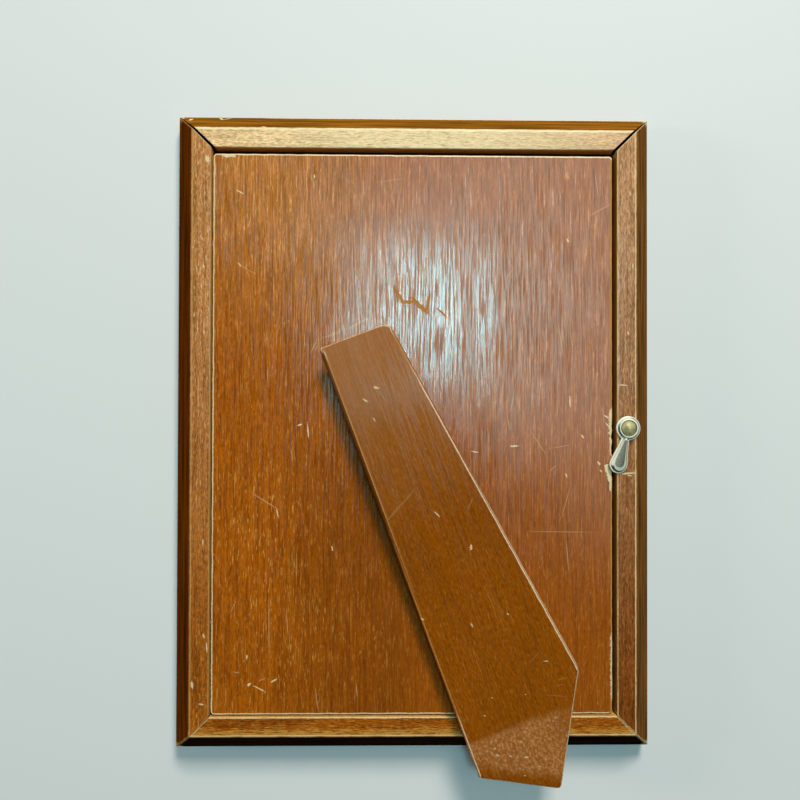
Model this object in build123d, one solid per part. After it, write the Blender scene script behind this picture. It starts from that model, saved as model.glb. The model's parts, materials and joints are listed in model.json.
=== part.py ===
"""Table-top photo frame, lying face down, with a swing-out easel strut.

Millimetres. The frame's front face is on Z = 0 and its back points up +Z.
+X is the right-hand side seen from behind, +Y the upper end.
The origin is the middle of the whole object's footprint, on the surface that it lies on.
"""
from build123d import *
from math import asin, cos, degrees, radians, sin, sqrt
import os

os.makedirs("parts", exist_ok=True)

# ---------------------------------------------------------------- driving dimensions

# Picture and what lies in front of the back panel
PICTURE_WIDTH = 127.0
PICTURE_HEIGHT = 177.8
GLASS_THICKNESS = 2.0
PRINT_THICKNESS = 0.25
CARD_THICKNESS = 2.3
PICTURE_CLEARANCE = 1.0          # all round the glass, in the rabbet
PACK_CLEARANCE = 0.15            # between the filler card and the back panel

# Moulding section: u runs inwards from the outer side, z up from the front face
BACK_LAND = 6.15                 # flat back edge of the moulding
FLARE = 5.55                     # how far the outer side slopes out towards the front
SIDE_HEIGHT = 6.5                # upright band of the outer side
LIP_WIDTH = 5.0                  # what the rabbet's lip covers of the picture
LIP_THICKNESS = 4.5
FRONT_LAND = 11.0                # flat front face of the moulding
FRONT_STEP = 0.7                 # step down to the sight edge's bead
FRONT_EASE = 0.2                 # edge of that step
FRONT_ROUND = 2.0
SIGHT_BEAD = 2.0
SIDE_ROUND = 0.8
ARRIS_ROUND = 0.6

# Upper mitres, opened by shrinkage: gap across the joint for each mm of u and of z
MITRE_OPENING_PER_U = 0.027
MITRE_OPENING_PER_Z = 0.038

# Back panel and its play in the rabbet
PANEL_THICKNESS = 4.0
PANEL_RECESS = 0.8               # back panel below the frame's back face
PANEL_GAP_LEFT = 0.3
PANEL_GAP_RIGHT = 1.3
PANEL_GAP_BOTTOM = 0.3
PANEL_GAP_TOP = 1.7
PANEL_CORNER_ROUND = 1.2
PANEL_ARRIS_ROUND = 0.8
PANEL_TILT = 35.0                # the locating pins hold the panel's edge this far

# Locating pins in the panel's left edge, and their slots in the left stile
LOCATING_PIN_RADIUS = 0.6
LOCATING_PIN_REACH = 2.0
LOCATING_PIN_EMBED = 6.0
LOCATING_PIN_SPACING = 120.0
SLOT_CLEARANCE = 0.3

# Corner brads
BRAD_RADIUS = 0.55
BRAD_LENGTH = 18.0
BRAD_HEAD_RADIUS = 0.9
BRAD_HEAD_HEIGHT = 0.6
BRAD_SET = 0.5                   # head below the outer side
BRAD_HEIGHT = 3.4                # above the front face
BRAD_OFFSETS = (4.5, 9.0)        # from the rail's outer side

# Strut outline: along is down its left side from the top edge, across is to the right
STRUT_THICKNESS = 5.5
STRUT_TOP_WIDTH = 23.1
STRUT_LEFT_LENGTH = 142.3
STRUT_TOE_ALONG = 154.5
STRUT_TOE_ACROSS = 22.7
STRUT_KNEE_ALONG = 121.3
STRUT_KNEE_ACROSS = 41.0
STRUT_CORNER_ROUND = 1.4
STRUT_TOP_RIGHT_ROUND = 3.0
STRUT_KNEE_ROUND = 2.5
STRUT_ARRIS_ROUND = 0.8
STRUT_LEAN = 20.6                # left side from the frame's upright direction
STRUT_TOP_LEFT_X = -29.9         # from the frame's centre
STRUT_TOP_LEFT_Y = 25.9
STRUT_OPEN = 45.0                # its bevelled end stops it here
STRUT_STOP_CLEARANCE = 0.15
STRUT_RAIL_CLEARANCE = 0.2

# Strut hinge
HINGE_WIDTH = 17.0
HINGE_LEAF_LENGTH = 11.0
HINGE_LEAF_THICKNESS = 0.6
HINGE_KNUCKLE_RADIUS = 1.2
HINGE_KNUCKLE_GAP = 0.2
HINGE_KNUCKLES = 3
HINGE_PIN_RADIUS = 0.6
HINGE_PIN_OVERHANG = 0.3
RUNNING_CLEARANCE = 0.05
HINGE_WOOD_CLEARANCE = 0.15      # knuckle to the wood above and below it

# Hinge screws
SCREW_RADIUS = 0.6
SCREW_HEAD_RADIUS = 1.2
SCREW_HEAD_HEIGHT = 0.45
SCREW_HEAD_ROUND = 0.27
SCREW_SPACING = 10.5
SCREW_ALONG = 7.0                # from the hinge pin
PANEL_SCREW_DEPTH = 3.0
STRUT_SCREW_DEPTH = 4.0

# Turn button
BUTTON_EYE_RADIUS = 3.85
BUTTON_NECK_RADIUS = 1.2
BUTTON_TIP_RADIUS = 2.85
BUTTON_REACH = 11.9              # pivot to the centre of the rounded tip
BUTTON_THICKNESS = 1.7           # over the raised eye and the raised middle of the tongue
BUTTON_FLANGE = 0.8              # thickness of the flat rim all round
BUTTON_RIM = 0.4                 # width of that rim
BUTTON_BEVEL = 0.7               # slope beside the tongue's raised middle
BUTTON_TIP_SETBACK = 0.7         # more slope at the tongue's rounded end
BUTTON_RIDGE_RADIUS = 0.3        # raised middle at the neck
BUTTON_COLLAR_RADIUS = 2.85      # top of the raised eye
BUTTON_EYE_FLOOR = 0.9
BUTTON_CLEARANCE = 0.15          # above the frame's back face
BUTTON_LEAN = 15.5               # tip swung in over the back panel's edge
BUTTON_ABOVE_MIDDLE = 1.2
BUTTON_OFF_LAND_MIDDLE = 0.3      # towards the frame's outer side

# Round-head pin that the turn button swivels on
BUTTON_PIN_RADIUS = 0.9
BUTTON_PIN_EMBED = 8.0
BUTTON_DOME_RADIUS = 2.35
BUTTON_DOME_HEIGHT = 1.6
BUTTON_DOME_RIM = 0.4
BUTTON_DOME_CLEARANCE = 0.1

# ---------------------------------------------------------------- sizes that follow

RABBET_INSET = FLARE + BACK_LAND
SIGHT_INSET = RABBET_INSET + LIP_WIDTH
RABBET_WIDTH = PICTURE_WIDTH + 2 * PICTURE_CLEARANCE
RABBET_HEIGHT = PICTURE_HEIGHT + 2 * PICTURE_CLEARANCE
FRAME_WIDTH = RABBET_WIDTH + 2 * RABBET_INSET
FRAME_HEIGHT = RABBET_HEIGHT + 2 * RABBET_INSET

GLASS_Z = LIP_THICKNESS
PRINT_Z = GLASS_Z + GLASS_THICKNESS
CARD_Z = PRINT_Z + PRINT_THICKNESS
PANEL_Z = CARD_Z + CARD_THICKNESS + PACK_CLEARANCE
PANEL_BACK_Z = PANEL_Z + PANEL_THICKNESS
FRAME_DEPTH = PANEL_BACK_Z + PANEL_RECESS

PANEL_WIDTH = RABBET_WIDTH - PANEL_GAP_LEFT - PANEL_GAP_RIGHT
PANEL_HEIGHT = RABBET_HEIGHT - PANEL_GAP_BOTTOM - PANEL_GAP_TOP
PANEL_LEFT = -RABBET_WIDTH / 2 + PANEL_GAP_LEFT
PANEL_BOTTOM = -RABBET_HEIGHT / 2 + PANEL_GAP_BOTTOM
PANEL_CENTRE = (PANEL_LEFT + PANEL_WIDTH / 2, PANEL_BOTTOM + PANEL_HEIGHT / 2)
LOCATING_PIN_Z = PANEL_Z + PANEL_THICKNESS / 2
TILT_AXIS_X = PANEL_LEFT + PANEL_ARRIS_ROUND
TILT_AXIS_Z = PANEL_BACK_Z - PANEL_ARRIS_ROUND

HINGE_AXIS_HEIGHT = HINGE_KNUCKLE_RADIUS + HINGE_WOOD_CLEARANCE
STRUT_OUTER_HEIGHT = HINGE_AXIS_HEIGHT + STRUT_THICKNESS
# The hinge axis is set back from the strut's end so that the bevel meets the panel at STRUT_OPEN
HINGE_SETBACK = (
    STRUT_OUTER_HEIGHT * cos(radians(STRUT_OPEN)) + HINGE_AXIS_HEIGHT - STRUT_STOP_CLEARANCE
) / sin(radians(STRUT_OPEN))

BUTTON_PIVOT = (
    FRAME_WIDTH / 2 - FLARE - BACK_LAND / 2 + BUTTON_OFF_LAND_MIDDLE,
    BUTTON_ABOVE_MIDDLE,
)
BUTTON_Z = FRAME_DEPTH + BUTTON_CLEARANCE


def group(pieces):
    """Separate solids that share one node."""
    return Compound([piece.solid() for piece in pieces])


def square_to(z_from, z_to, width, height, centre=(0, 0)):
    """Rectangular block between two heights."""
    block = Box(width, height, z_to - z_from)
    return Pos(centre[0], centre[1], (z_from + z_to) / 2) * block


def rounded_outline(points):
    """Closed face from (x, y, corner radius) points."""
    line = FilletPolyline(
        [(x, y) for x, y, _ in points],
        radius=[r for _, _, r in points],
        close=True,
    )
    return make_face(line)


def bar_along_x(radius, length):
    """Round bar from the origin along +X."""
    return extrude(Plane.YZ * Circle(radius), length)


# ---------------------------------------------------------------- wooden mouldings

def moulding(length):
    """Straight moulding along X, its outer side on y = 0 and its front on z = 0."""
    section = rounded_outline([
        (0, 0, FRONT_ROUND),
        (FRONT_LAND, 0, FRONT_EASE),
        (FRONT_LAND, FRONT_STEP, 0),
        (SIGHT_INSET, FRONT_STEP, SIGHT_BEAD),
        (SIGHT_INSET, LIP_THICKNESS, 0),
        (RABBET_INSET, LIP_THICKNESS, 0),
        (RABBET_INSET, FRAME_DEPTH, ARRIS_ROUND),
        (FLARE, FRAME_DEPTH, ARRIS_ROUND),
        (0, SIDE_HEIGHT, SIDE_ROUND),
    ])
    return Pos(-length / 2, 0, 0) * extrude(Plane.YZ * section, length)


def mitred(length, opening_per_u=0.0, opening_per_z=0.0):
    """Moulding cut at 45 degrees at both ends, its mitres opened by the given slopes."""
    member = moulding(length)
    for end in (-1, 1):
        normal = (end, 1 + sqrt(2) * opening_per_u, sqrt(2) * opening_per_z)
        cut = Plane(origin=(end * length / 2, 0, 0), z_dir=normal)
        member = split(member, bisect_by=cut, keep=Keep.BOTTOM)
    return member


def side_place(turn, reach):
    """Places a moulding on one side: turned about Z, its outer side at the given reach."""
    return Rot(0, 0, turn) * Pos(0, -reach, 0)


rail_bottom = side_place(0, FRAME_HEIGHT / 2) * mitred(FRAME_WIDTH)
stile_right = side_place(90, FRAME_WIDTH / 2) * mitred(FRAME_HEIGHT)
rail_top = side_place(180, FRAME_HEIGHT / 2) * mitred(
    FRAME_WIDTH, MITRE_OPENING_PER_U, MITRE_OPENING_PER_Z
)
stile_left = side_place(270, FRAME_WIDTH / 2) * mitred(FRAME_HEIGHT)

# ---------------------------------------------------------------- corner brads


def brad():
    """Headed brad along +X, its head's outer face on x = 0."""
    return bar_along_x(BRAD_HEAD_RADIUS, BRAD_HEAD_HEIGHT) + bar_along_x(BRAD_RADIUS, BRAD_LENGTH)


def corner_brads(side_x, side_y):
    """The brads of one corner and the holes that they were driven into."""
    brads = []
    holes = []
    for offset in BRAD_OFFSETS:
        y = side_y * (FRAME_HEIGHT / 2 - offset)
        inwards = Rot(0, 0, 180 if side_x > 0 else 0)
        place = Pos(side_x * (FRAME_WIDTH / 2 - BRAD_SET), y, BRAD_HEIGHT) * inwards
        brads.append(place * brad())
        holes.append(place * Pos(-BRAD_SET, 0, 0) * bar_along_x(BRAD_HEAD_RADIUS, BRAD_SET))
    return brads, holes


members = {
    "rail_top": rail_top,
    "rail_bottom": rail_bottom,
    "stile_left": stile_left,
    "stile_right": stile_right,
}
nodes = {}
for y_name, side_y in (("top", 1), ("bottom", -1)):
    for x_name, side_x in (("left", -1), ("right", 1)):
        brads, holes = corner_brads(side_x, side_y)
        nodes[f"corner_brads_{y_name}_{x_name}"] = group(brads)
        for body in (*brads, *holes):
            members[f"rail_{y_name}"] -= body
            members[f"stile_{x_name}"] -= body

# ---------------------------------------------------------------- picture and its cover

glass_pane = square_to(GLASS_Z, PRINT_Z, PICTURE_WIDTH, PICTURE_HEIGHT)
picture_print = square_to(PRINT_Z, CARD_Z, PICTURE_WIDTH, PICTURE_HEIGHT)
filler_card = square_to(CARD_Z, CARD_Z + CARD_THICKNESS, PICTURE_WIDTH, PICTURE_HEIGHT)

# ---------------------------------------------------------------- back panel

back_panel = square_to(PANEL_Z, PANEL_BACK_Z, PANEL_WIDTH, PANEL_HEIGHT, PANEL_CENTRE)
back_panel = fillet(back_panel.edges().filter_by(Axis.Z), PANEL_CORNER_ROUND)
back_panel = fillet(back_panel.faces().sort_by(Axis.Z)[-1].edges(), PANEL_ARRIS_ROUND)

locating_pins = []
for end in (-1, 1):
    pin_y = PANEL_CENTRE[1] + end * LOCATING_PIN_SPACING / 2
    start = PANEL_LEFT - LOCATING_PIN_REACH
    pin = bar_along_x(LOCATING_PIN_RADIUS, LOCATING_PIN_REACH + LOCATING_PIN_EMBED)
    pin = Pos(start, pin_y, LOCATING_PIN_Z) * pin
    locating_pins.append(pin)
    back_panel -= pin
    # The slot is deep enough for the pin's tip to drop as the panel tilts
    tip_arm = LOCATING_PIN_REACH + PANEL_ARRIS_ROUND
    drop_arm = TILT_AXIS_Z - LOCATING_PIN_Z + LOCATING_PIN_RADIUS
    lowest = tip_arm * sin(radians(PANEL_TILT)) + drop_arm * cos(radians(PANEL_TILT))
    slot_floor = TILT_AXIS_Z - lowest - SLOT_CLEARANCE
    slot_roof = LOCATING_PIN_Z + LOCATING_PIN_RADIUS + SLOT_CLEARANCE
    slot_end = start - SLOT_CLEARANCE
    slot_width = 2 * (LOCATING_PIN_RADIUS + SLOT_CLEARANCE)
    slot = square_to(
        slot_floor, slot_roof, PANEL_LEFT - slot_end, slot_width,
        ((PANEL_LEFT + slot_end) / 2, pin_y),
    )
    members["stile_left"] -= slot

# ---------------------------------------------------------------- strut and its hinge

# Hinge frame: X along the hinge pin, -Y down the strut, Z out of the panel, origin on the pin's axis
strut_axes = Pos(STRUT_TOP_LEFT_X, STRUT_TOP_LEFT_Y, PANEL_BACK_Z) * Rot(0, 0, STRUT_LEAN)
hinge_place = strut_axes * Pos(STRUT_TOP_WIDTH / 2, -HINGE_SETBACK, HINGE_AXIS_HEIGHT)

# Closed, the strut leans in until its underside nearly lies on the bottom rail
rail_outer_y = -FRAME_HEIGHT / 2 + FLARE
rail_along = (
    STRUT_TOP_LEFT_Y - rail_outer_y + STRUT_KNEE_ACROSS * sin(radians(STRUT_LEAN))
) / cos(radians(STRUT_LEAN))
rail_arm = rail_along - HINGE_SETBACK
REST_TILT = degrees(asin((2 * HINGE_AXIS_HEIGHT - PANEL_RECESS - STRUT_RAIL_CLEARANCE) / rail_arm))
strut_place = hinge_place * Rot(REST_TILT, 0, 0)


def strut_blank():
    """Strut in the hinge frame, its underside on z = HINGE_AXIS_HEIGHT."""
    left = -STRUT_TOP_WIDTH / 2
    top = HINGE_SETBACK
    outline = rounded_outline([
        (left, top, STRUT_CORNER_ROUND),
        (left, top - STRUT_LEFT_LENGTH, STRUT_CORNER_ROUND),
        (left + STRUT_TOE_ACROSS, top - STRUT_TOE_ALONG, STRUT_CORNER_ROUND),
        (left + STRUT_KNEE_ACROSS, top - STRUT_KNEE_ALONG, STRUT_KNEE_ROUND),
        (left + STRUT_TOP_WIDTH, top, STRUT_TOP_RIGHT_ROUND),
    ])
    blank = Pos(0, 0, HINGE_AXIS_HEIGHT) * extrude(outline, STRUT_THICKNESS)
    outer_face = blank.faces().sort_by(Axis.Z)[-1]
    blank = fillet(outer_face.edges(), STRUT_ARRIS_ROUND)
    bevel = Plane(
        origin=(0, HINGE_SETBACK, STRUT_OUTER_HEIGHT),
        z_dir=(0, sin(radians(STRUT_OPEN)), -cos(radians(STRUT_OPEN))),
    )
    return split(blank, bisect_by=bevel, keep=Keep.BOTTOM)


def knuckle_span(index):
    """Start and end of one knuckle along the hinge pin, with its side clearance."""
    pitch = HINGE_WIDTH / HINGE_KNUCKLES
    start = -HINGE_WIDTH / 2 + index * pitch
    return start + HINGE_KNUCKLE_GAP / 2, start + pitch - HINGE_KNUCKLE_GAP / 2


def hinge_leaf(own_knuckles, bore_radius):
    """Leaf lying under the hinge pin's axis, its outer face HINGE_AXIS_HEIGHT below it."""
    plate_end = HINGE_KNUCKLE_RADIUS + HINGE_KNUCKLE_GAP
    low = -HINGE_AXIS_HEIGHT
    high = low + HINGE_LEAF_THICKNESS
    leaf = square_to(
        low, high, HINGE_WIDTH - HINGE_KNUCKLE_GAP, HINGE_LEAF_LENGTH - plate_end,
        (0, -(HINGE_LEAF_LENGTH + plate_end) / 2),
    )
    for index in own_knuckles:
        start, end = knuckle_span(index)
        leaf += square_to(low, high, end - start, plate_end, ((start + end) / 2, -plate_end / 2))
        leaf += Pos(start, 0, 0) * bar_along_x(HINGE_KNUCKLE_RADIUS, end - start)
    leaf -= Pos(-HINGE_WIDTH / 2, 0, 0) * bar_along_x(bore_radius, HINGE_WIDTH)
    return leaf


def hinge_screw(depth):
    """Small round-head screw through a leaf that lies under the axis, pointing down."""
    under_head = -HINGE_AXIS_HEIGHT + HINGE_LEAF_THICKNESS
    length = HINGE_LEAF_THICKNESS + depth
    head = Pos(0, 0, under_head) * extrude(Circle(SCREW_HEAD_RADIUS), SCREW_HEAD_HEIGHT)
    head = fillet(head.edges().sort_by(Axis.Z)[-1], SCREW_HEAD_ROUND)
    shank = Pos(0, 0, under_head - length) * extrude(Circle(SCREW_RADIUS), length)
    return head + shank


def hinge_screws(depth):
    """The pair of screws of one leaf."""
    return [
        Pos(end * SCREW_SPACING / 2, -SCREW_ALONG, 0) * hinge_screw(depth)
        for end in (-1, 1)
    ]


turned_over = Rot(0, 180, 0)     # a leaf on the panel becomes one on the strut
panel_knuckles = range(0, HINGE_KNUCKLES, 2)
strut_knuckles = range(1, HINGE_KNUCKLES, 2)

hinge_leaf_panel = hinge_place * hinge_leaf(panel_knuckles, HINGE_PIN_RADIUS)
hinge_leaf_strut = strut_place * turned_over * hinge_leaf(
    strut_knuckles, HINGE_PIN_RADIUS + RUNNING_CLEARANCE
)
pin_length = HINGE_WIDTH + 2 * HINGE_PIN_OVERHANG
hinge_pin = hinge_place * Pos(-pin_length / 2, 0, 0) * bar_along_x(HINGE_PIN_RADIUS, pin_length)
strut = strut_place * strut_blank()

panel_screws = [hinge_place * s for s in hinge_screws(PANEL_SCREW_DEPTH)]
strut_screws = [strut_place * turned_over * s for s in hinge_screws(STRUT_SCREW_DEPTH)]
for screw in panel_screws:
    back_panel -= screw
    hinge_leaf_panel -= screw
for screw in strut_screws:
    strut -= screw
    hinge_leaf_strut -= screw

# ---------------------------------------------------------------- turn button


def tongue(neck_radius, tip_radius, reach):
    """Teardrop face that widens from the neck, on the eye's edge, to the rounded tip."""
    neck = Pos(0, -BUTTON_EYE_RADIUS) * Circle(neck_radius)
    tip = Pos(0, -reach) * Circle(tip_radius)
    return make_hull(neck.edges() + tip.edges())


def turn_button_body():
    """Stamped button: a flat rim all round, a raised eye on the origin and a raised tongue along -Y."""
    body = extrude(Circle(BUTTON_EYE_RADIUS), BUTTON_FLANGE)
    body += extrude(tongue(BUTTON_NECK_RADIUS, BUTTON_TIP_RADIUS, BUTTON_REACH), BUTTON_FLANGE)
    foot = tongue(BUTTON_NECK_RADIUS - BUTTON_RIM, BUTTON_TIP_RADIUS - BUTTON_RIM, BUTTON_REACH)
    crest = tongue(
        BUTTON_RIDGE_RADIUS,
        BUTTON_TIP_RADIUS - BUTTON_RIM - BUTTON_BEVEL,
        BUTTON_REACH - BUTTON_TIP_SETBACK,
    )
    body += loft([Pos(0, 0, BUTTON_FLANGE) * foot, Pos(0, 0, BUTTON_THICKNESS) * crest], ruled=True)
    eye_foot = Pos(0, 0, BUTTON_FLANGE) * Circle(BUTTON_EYE_RADIUS - BUTTON_RIM)
    eye_crest = Pos(0, 0, BUTTON_THICKNESS) * Circle(BUTTON_COLLAR_RADIUS)
    body += loft([eye_foot, eye_crest], ruled=True)
    well_radius = BUTTON_DOME_RADIUS + 2 * BUTTON_DOME_CLEARANCE
    well_depth = BUTTON_THICKNESS - BUTTON_EYE_FLOOR
    body -= Pos(0, 0, BUTTON_EYE_FLOOR) * extrude(Circle(well_radius), well_depth)
    body -= extrude(Circle(BUTTON_PIN_RADIUS + RUNNING_CLEARANCE), BUTTON_EYE_FLOOR)
    return body


def button_pin():
    """Round-head pin, z measured from the frame's back face."""
    under_head = BUTTON_CLEARANCE + BUTTON_EYE_FLOOR + BUTTON_DOME_CLEARANCE
    shank_length = BUTTON_PIN_EMBED + under_head
    shank = Pos(0, 0, -BUTTON_PIN_EMBED) * extrude(Circle(BUTTON_PIN_RADIUS), shank_length)
    rim_top = under_head + BUTTON_DOME_RIM
    crown = under_head + BUTTON_DOME_HEIGHT
    # Half section of the domed head: flat underside, short rim, circular crown
    rise = crown - rim_top
    sphere_radius = (BUTTON_DOME_RADIUS ** 2 + rise ** 2) / (2 * rise)
    half_angle = asin(BUTTON_DOME_RADIUS / sphere_radius) / 2
    middle = (sphere_radius * sin(half_angle), crown - sphere_radius * (1 - cos(half_angle)))
    outline = Polyline(
        (0, crown), (0, under_head), (BUTTON_DOME_RADIUS, under_head), (BUTTON_DOME_RADIUS, rim_top)
    )
    outline += ThreePointArc((BUTTON_DOME_RADIUS, rim_top), middle, (0, crown))
    head = revolve(Plane.XZ * make_face(outline), Axis.Z)
    return head + shank


pivot_place = Pos(BUTTON_PIVOT[0], BUTTON_PIVOT[1], 0)
turn_button = pivot_place * Pos(0, 0, BUTTON_Z) * Rot(0, 0, -BUTTON_LEAN) * turn_button_body()
turn_button_pin = pivot_place * Pos(0, 0, FRAME_DEPTH) * button_pin()
members["stile_right"] -= turn_button_pin

# ---------------------------------------------------------------- all nodes, placed and written

nodes.update(members)
nodes.update({
    "glass_pane": glass_pane,
    "picture_print": picture_print,
    "filler_card": filler_card,
    "back_panel": back_panel,
    "panel_locating_pins": group(locating_pins),
    "strut": strut,
    "hinge_leaf_panel": hinge_leaf_panel,
    "hinge_leaf_strut": hinge_leaf_strut,
    "hinge_pin": hinge_pin,
    "hinge_screws_panel": group(panel_screws),
    "hinge_screws_strut": group(strut_screws),
    "turn_button": turn_button,
    "turn_button_pin": turn_button_pin,
})

# The strut's foot stands past the frame, so the footprint's middle is below the frame's middle
foot_y = strut.bounding_box().min.Y
FRAME_CENTRE_Y = -(foot_y + FRAME_HEIGHT / 2) / 2
to_origin = Pos(0, FRAME_CENTRE_Y, 0)

for name, shape in nodes.items():
    export_step(to_origin * shape, f"parts/{name}.step")

hinge_centre = (to_origin * hinge_place).position
print(f"frame {FRAME_WIDTH:.1f} x {FRAME_HEIGHT:.1f} x {FRAME_DEPTH:.2f} mm")
print(f"frame centre y {FRAME_CENTRE_Y:.4f}, foot y {foot_y + FRAME_CENTRE_Y:.4f}")
print(f"strut hinge at {tuple(round(v, 4) for v in hinge_centre)}")
print(f"strut hinge axis {cos(radians(STRUT_LEAN)):.6f}, {sin(radians(STRUT_LEAN)):.6f}, 0")
print(f"strut rest tilt {REST_TILT:.3f} degrees, travel {STRUT_OPEN + REST_TILT:.2f} degrees")
print(f"panel tilt axis x {TILT_AXIS_X:.4f}, z {TILT_AXIS_Z:.4f}")
print(f"turn button pivot {BUTTON_PIVOT[0]:.4f}, {BUTTON_PIVOT[1] + FRAME_CENTRE_Y:.4f}, {BUTTON_Z:.4f}")
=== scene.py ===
# %% [markdown]
# # A worn wooden table frame, lying on its face
# This lesson dresses a small picture frame, seen from behind: four mitred mouldings, a lift-out
# back panel, a leaning easel strut and a stamped turn button. The construction already exists as
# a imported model. Here each part that people look at gets a finer surface and an aged finish.
# All sizes are typed in millimetres, as a joiner would, and become metres when a mesh is made.

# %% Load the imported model
import json
from math import atan2, ceil, cos, hypot, pi, radians, sin, sqrt

import bmesh
import bpy
import numpy as np
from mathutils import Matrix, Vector


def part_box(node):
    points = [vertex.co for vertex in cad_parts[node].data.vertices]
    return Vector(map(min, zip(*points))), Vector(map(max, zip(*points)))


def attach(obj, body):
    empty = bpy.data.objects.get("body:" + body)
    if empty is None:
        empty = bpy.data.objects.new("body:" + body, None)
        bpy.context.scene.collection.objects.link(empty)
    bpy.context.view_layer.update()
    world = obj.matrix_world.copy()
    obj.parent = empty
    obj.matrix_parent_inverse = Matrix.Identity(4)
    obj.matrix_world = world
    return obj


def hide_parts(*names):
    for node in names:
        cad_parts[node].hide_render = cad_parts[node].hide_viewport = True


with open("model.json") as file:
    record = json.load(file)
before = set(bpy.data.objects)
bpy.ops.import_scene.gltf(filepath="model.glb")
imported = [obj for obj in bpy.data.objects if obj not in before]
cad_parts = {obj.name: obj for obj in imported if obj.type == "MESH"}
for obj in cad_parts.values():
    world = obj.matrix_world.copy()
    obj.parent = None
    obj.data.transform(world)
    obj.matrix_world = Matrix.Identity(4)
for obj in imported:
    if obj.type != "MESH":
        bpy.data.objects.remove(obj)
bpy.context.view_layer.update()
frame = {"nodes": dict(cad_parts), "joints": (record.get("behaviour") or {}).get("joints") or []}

MM = 0.001
WELD, SLIVER = 0.002 * MM, 0.001 * MM       # points nearer than that become one
FAR_INSIDE = 5.0                            # mm: too far in for any worn line

# %% [markdown]
# ## The sizes that the pieces share
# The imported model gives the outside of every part, so the frame's width, height and depth are
# read from it. The moulding's section can't be read from a box, so its few sizes are named here:
# the flat land at the back, the side that flares out towards the front, the lip over the glass.

# %% Read the boxes and name the section's sizes
scene = bpy.context.scene


def node_box(name):
    """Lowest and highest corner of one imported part, in millimetres."""
    low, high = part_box(name)
    return np.array(low) / MM, np.array(high) / MM


def rectangle(half_width, half_height, third=0):
    """Corners of a rectangle round the middle, each with a height or a corner radius."""
    signs = ((-1, -1), (1, -1), (1, 1), (-1, 1))
    return [(x * half_width, y * half_height, third) for x, y in signs]


members_low = np.min([node_box(n)[0] for n in ("rail_bottom", "stile_left")], axis=0)
members_high = np.max([node_box(n)[1] for n in ("rail_top", "stile_right")], axis=0)
FRAME_WIDTH, FRAME_HEIGHT, FRAME_DEPTH = members_high - members_low
CENTRE = (members_low + members_high) / 2
BACK_LAND, FLARE, SIDE_HEIGHT = 6.15, 5.55, 6.5
LIP_WIDTH, LIP_THICKNESS = 5.0, 4.5
FRONT_LAND, FRONT_STEP = 11.0, 0.7
RABBET_INSET = FLARE + BACK_LAND
SIGHT_INSET = RABBET_INSET + LIP_WIDTH
print(f"frame {FRAME_WIDTH:.1f} x {FRAME_HEIGHT:.1f} x {FRAME_DEPTH:.1f} mm")

# %% [markdown]
# ## The camera
# The frame is looked at from almost straight above, from about 30 cm: near enough for the
# raised strut and the flared sides to show a little perspective. The camera stands a few
# millimetres off the middle and leans by about a degree.

# %% Place the camera
CAMERA_FROM_CENTRE = (-10.3, 5.9, 299.2)    # the height is above the frame's back face
CAMERA_LEAN = (0.773, -1.094, 0.154)        # degrees
CAMERA_LENS = 42.53                         # on a sensor 36 mm wide

camera = bpy.data.objects.new("camera", bpy.data.cameras.new("camera"))
scene.collection.objects.link(camera)
camera.data.lens = CAMERA_LENS
camera.data.clip_start, camera.data.clip_end = 0.01, 20
camera_place = np.array([CENTRE[0], CENTRE[1], FRAME_DEPTH]) + CAMERA_FROM_CENTRE
camera.location = camera_place * MM
camera.rotation_euler = [radians(angle) for angle in CAMERA_LEAN]
scene.camera = camera
scene.view_settings.view_transform = "Standard"
print("camera at", np.round(camera_place, 1), "mm")

# %% [markdown]
# ## Floor and light
# A plain pale table and soft studio light keep the attention on the wood. Most of the light
# comes from beyond the upper end of the frame, at about 45 degrees, so the strut throws its
# shadow down and to the left. A second, cooler lamp hangs nearly overhead. It is small, and its
# reflection is the pale patch that shows how glossy the lacquer on the back panel is. A large
# dim one beside it lays a soft sheen over the upper right, as a pale wall does. The last one
# stands low on the left and only gives the metal's slopes something bright to mirror.

# %% Make the floor and the lamps
FLOOR_HALF = 1.6
WORLD_STRENGTH = 0.05
LAMPS = {                                   # places and sizes in metres, powers in watts
    "key_light": dict(place=(0.19, 0.85, 0.92), size=0.34, power=11.4, tint=(1.0, 0.935, 0.84)),
    "top_light": dict(place=(0.108, 0.218, 1.75), size=0.27, power=7.3, tint=(0.33, 0.87, 1.0)),
    "wall_light": dict(place=(0.380, 0.390, 1.75), size=0.72, power=3.8, tint=(0.92, 0.90, 0.84)),
    "side_light": dict(place=(-1.40, 0.15, 0.50), size=0.25, power=2.8, tint=(1.0, 0.97, 0.88)),
}


def add_lamp(name, place, size, power, tint):
    """Square area lamp at a place from the frame's centre, aimed at the centre."""
    data = bpy.data.lights.new(name, "AREA")
    data.shape, data.size, data.energy, data.color = "SQUARE", size, power, tint
    lamp = bpy.data.objects.new(name, data)
    scene.collection.objects.link(lamp)
    lamp.location = (place[0], place[1] + CENTRE[1] * MM, place[2])
    lamp.rotation_euler = Vector(place).to_track_quat("Z", "Y").to_euler()


for name, settings in LAMPS.items():
    add_lamp(name, **settings)
world = bpy.data.worlds.new("studio")
world.use_nodes = True
background = world.node_tree.nodes["Background"].inputs
background["Color"].default_value = (1, 1, 1, 1)
background["Strength"].default_value = WORLD_STRENGTH
scene.world = world

floor_mesh = bpy.data.meshes.new("floor")
floor_mesh.from_pydata(rectangle(FLOOR_HALF, FLOOR_HALF), [], [(0, 1, 2, 3)])
floor = bpy.data.objects.new("floor", floor_mesh)
scene.collection.objects.link(floor)

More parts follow.
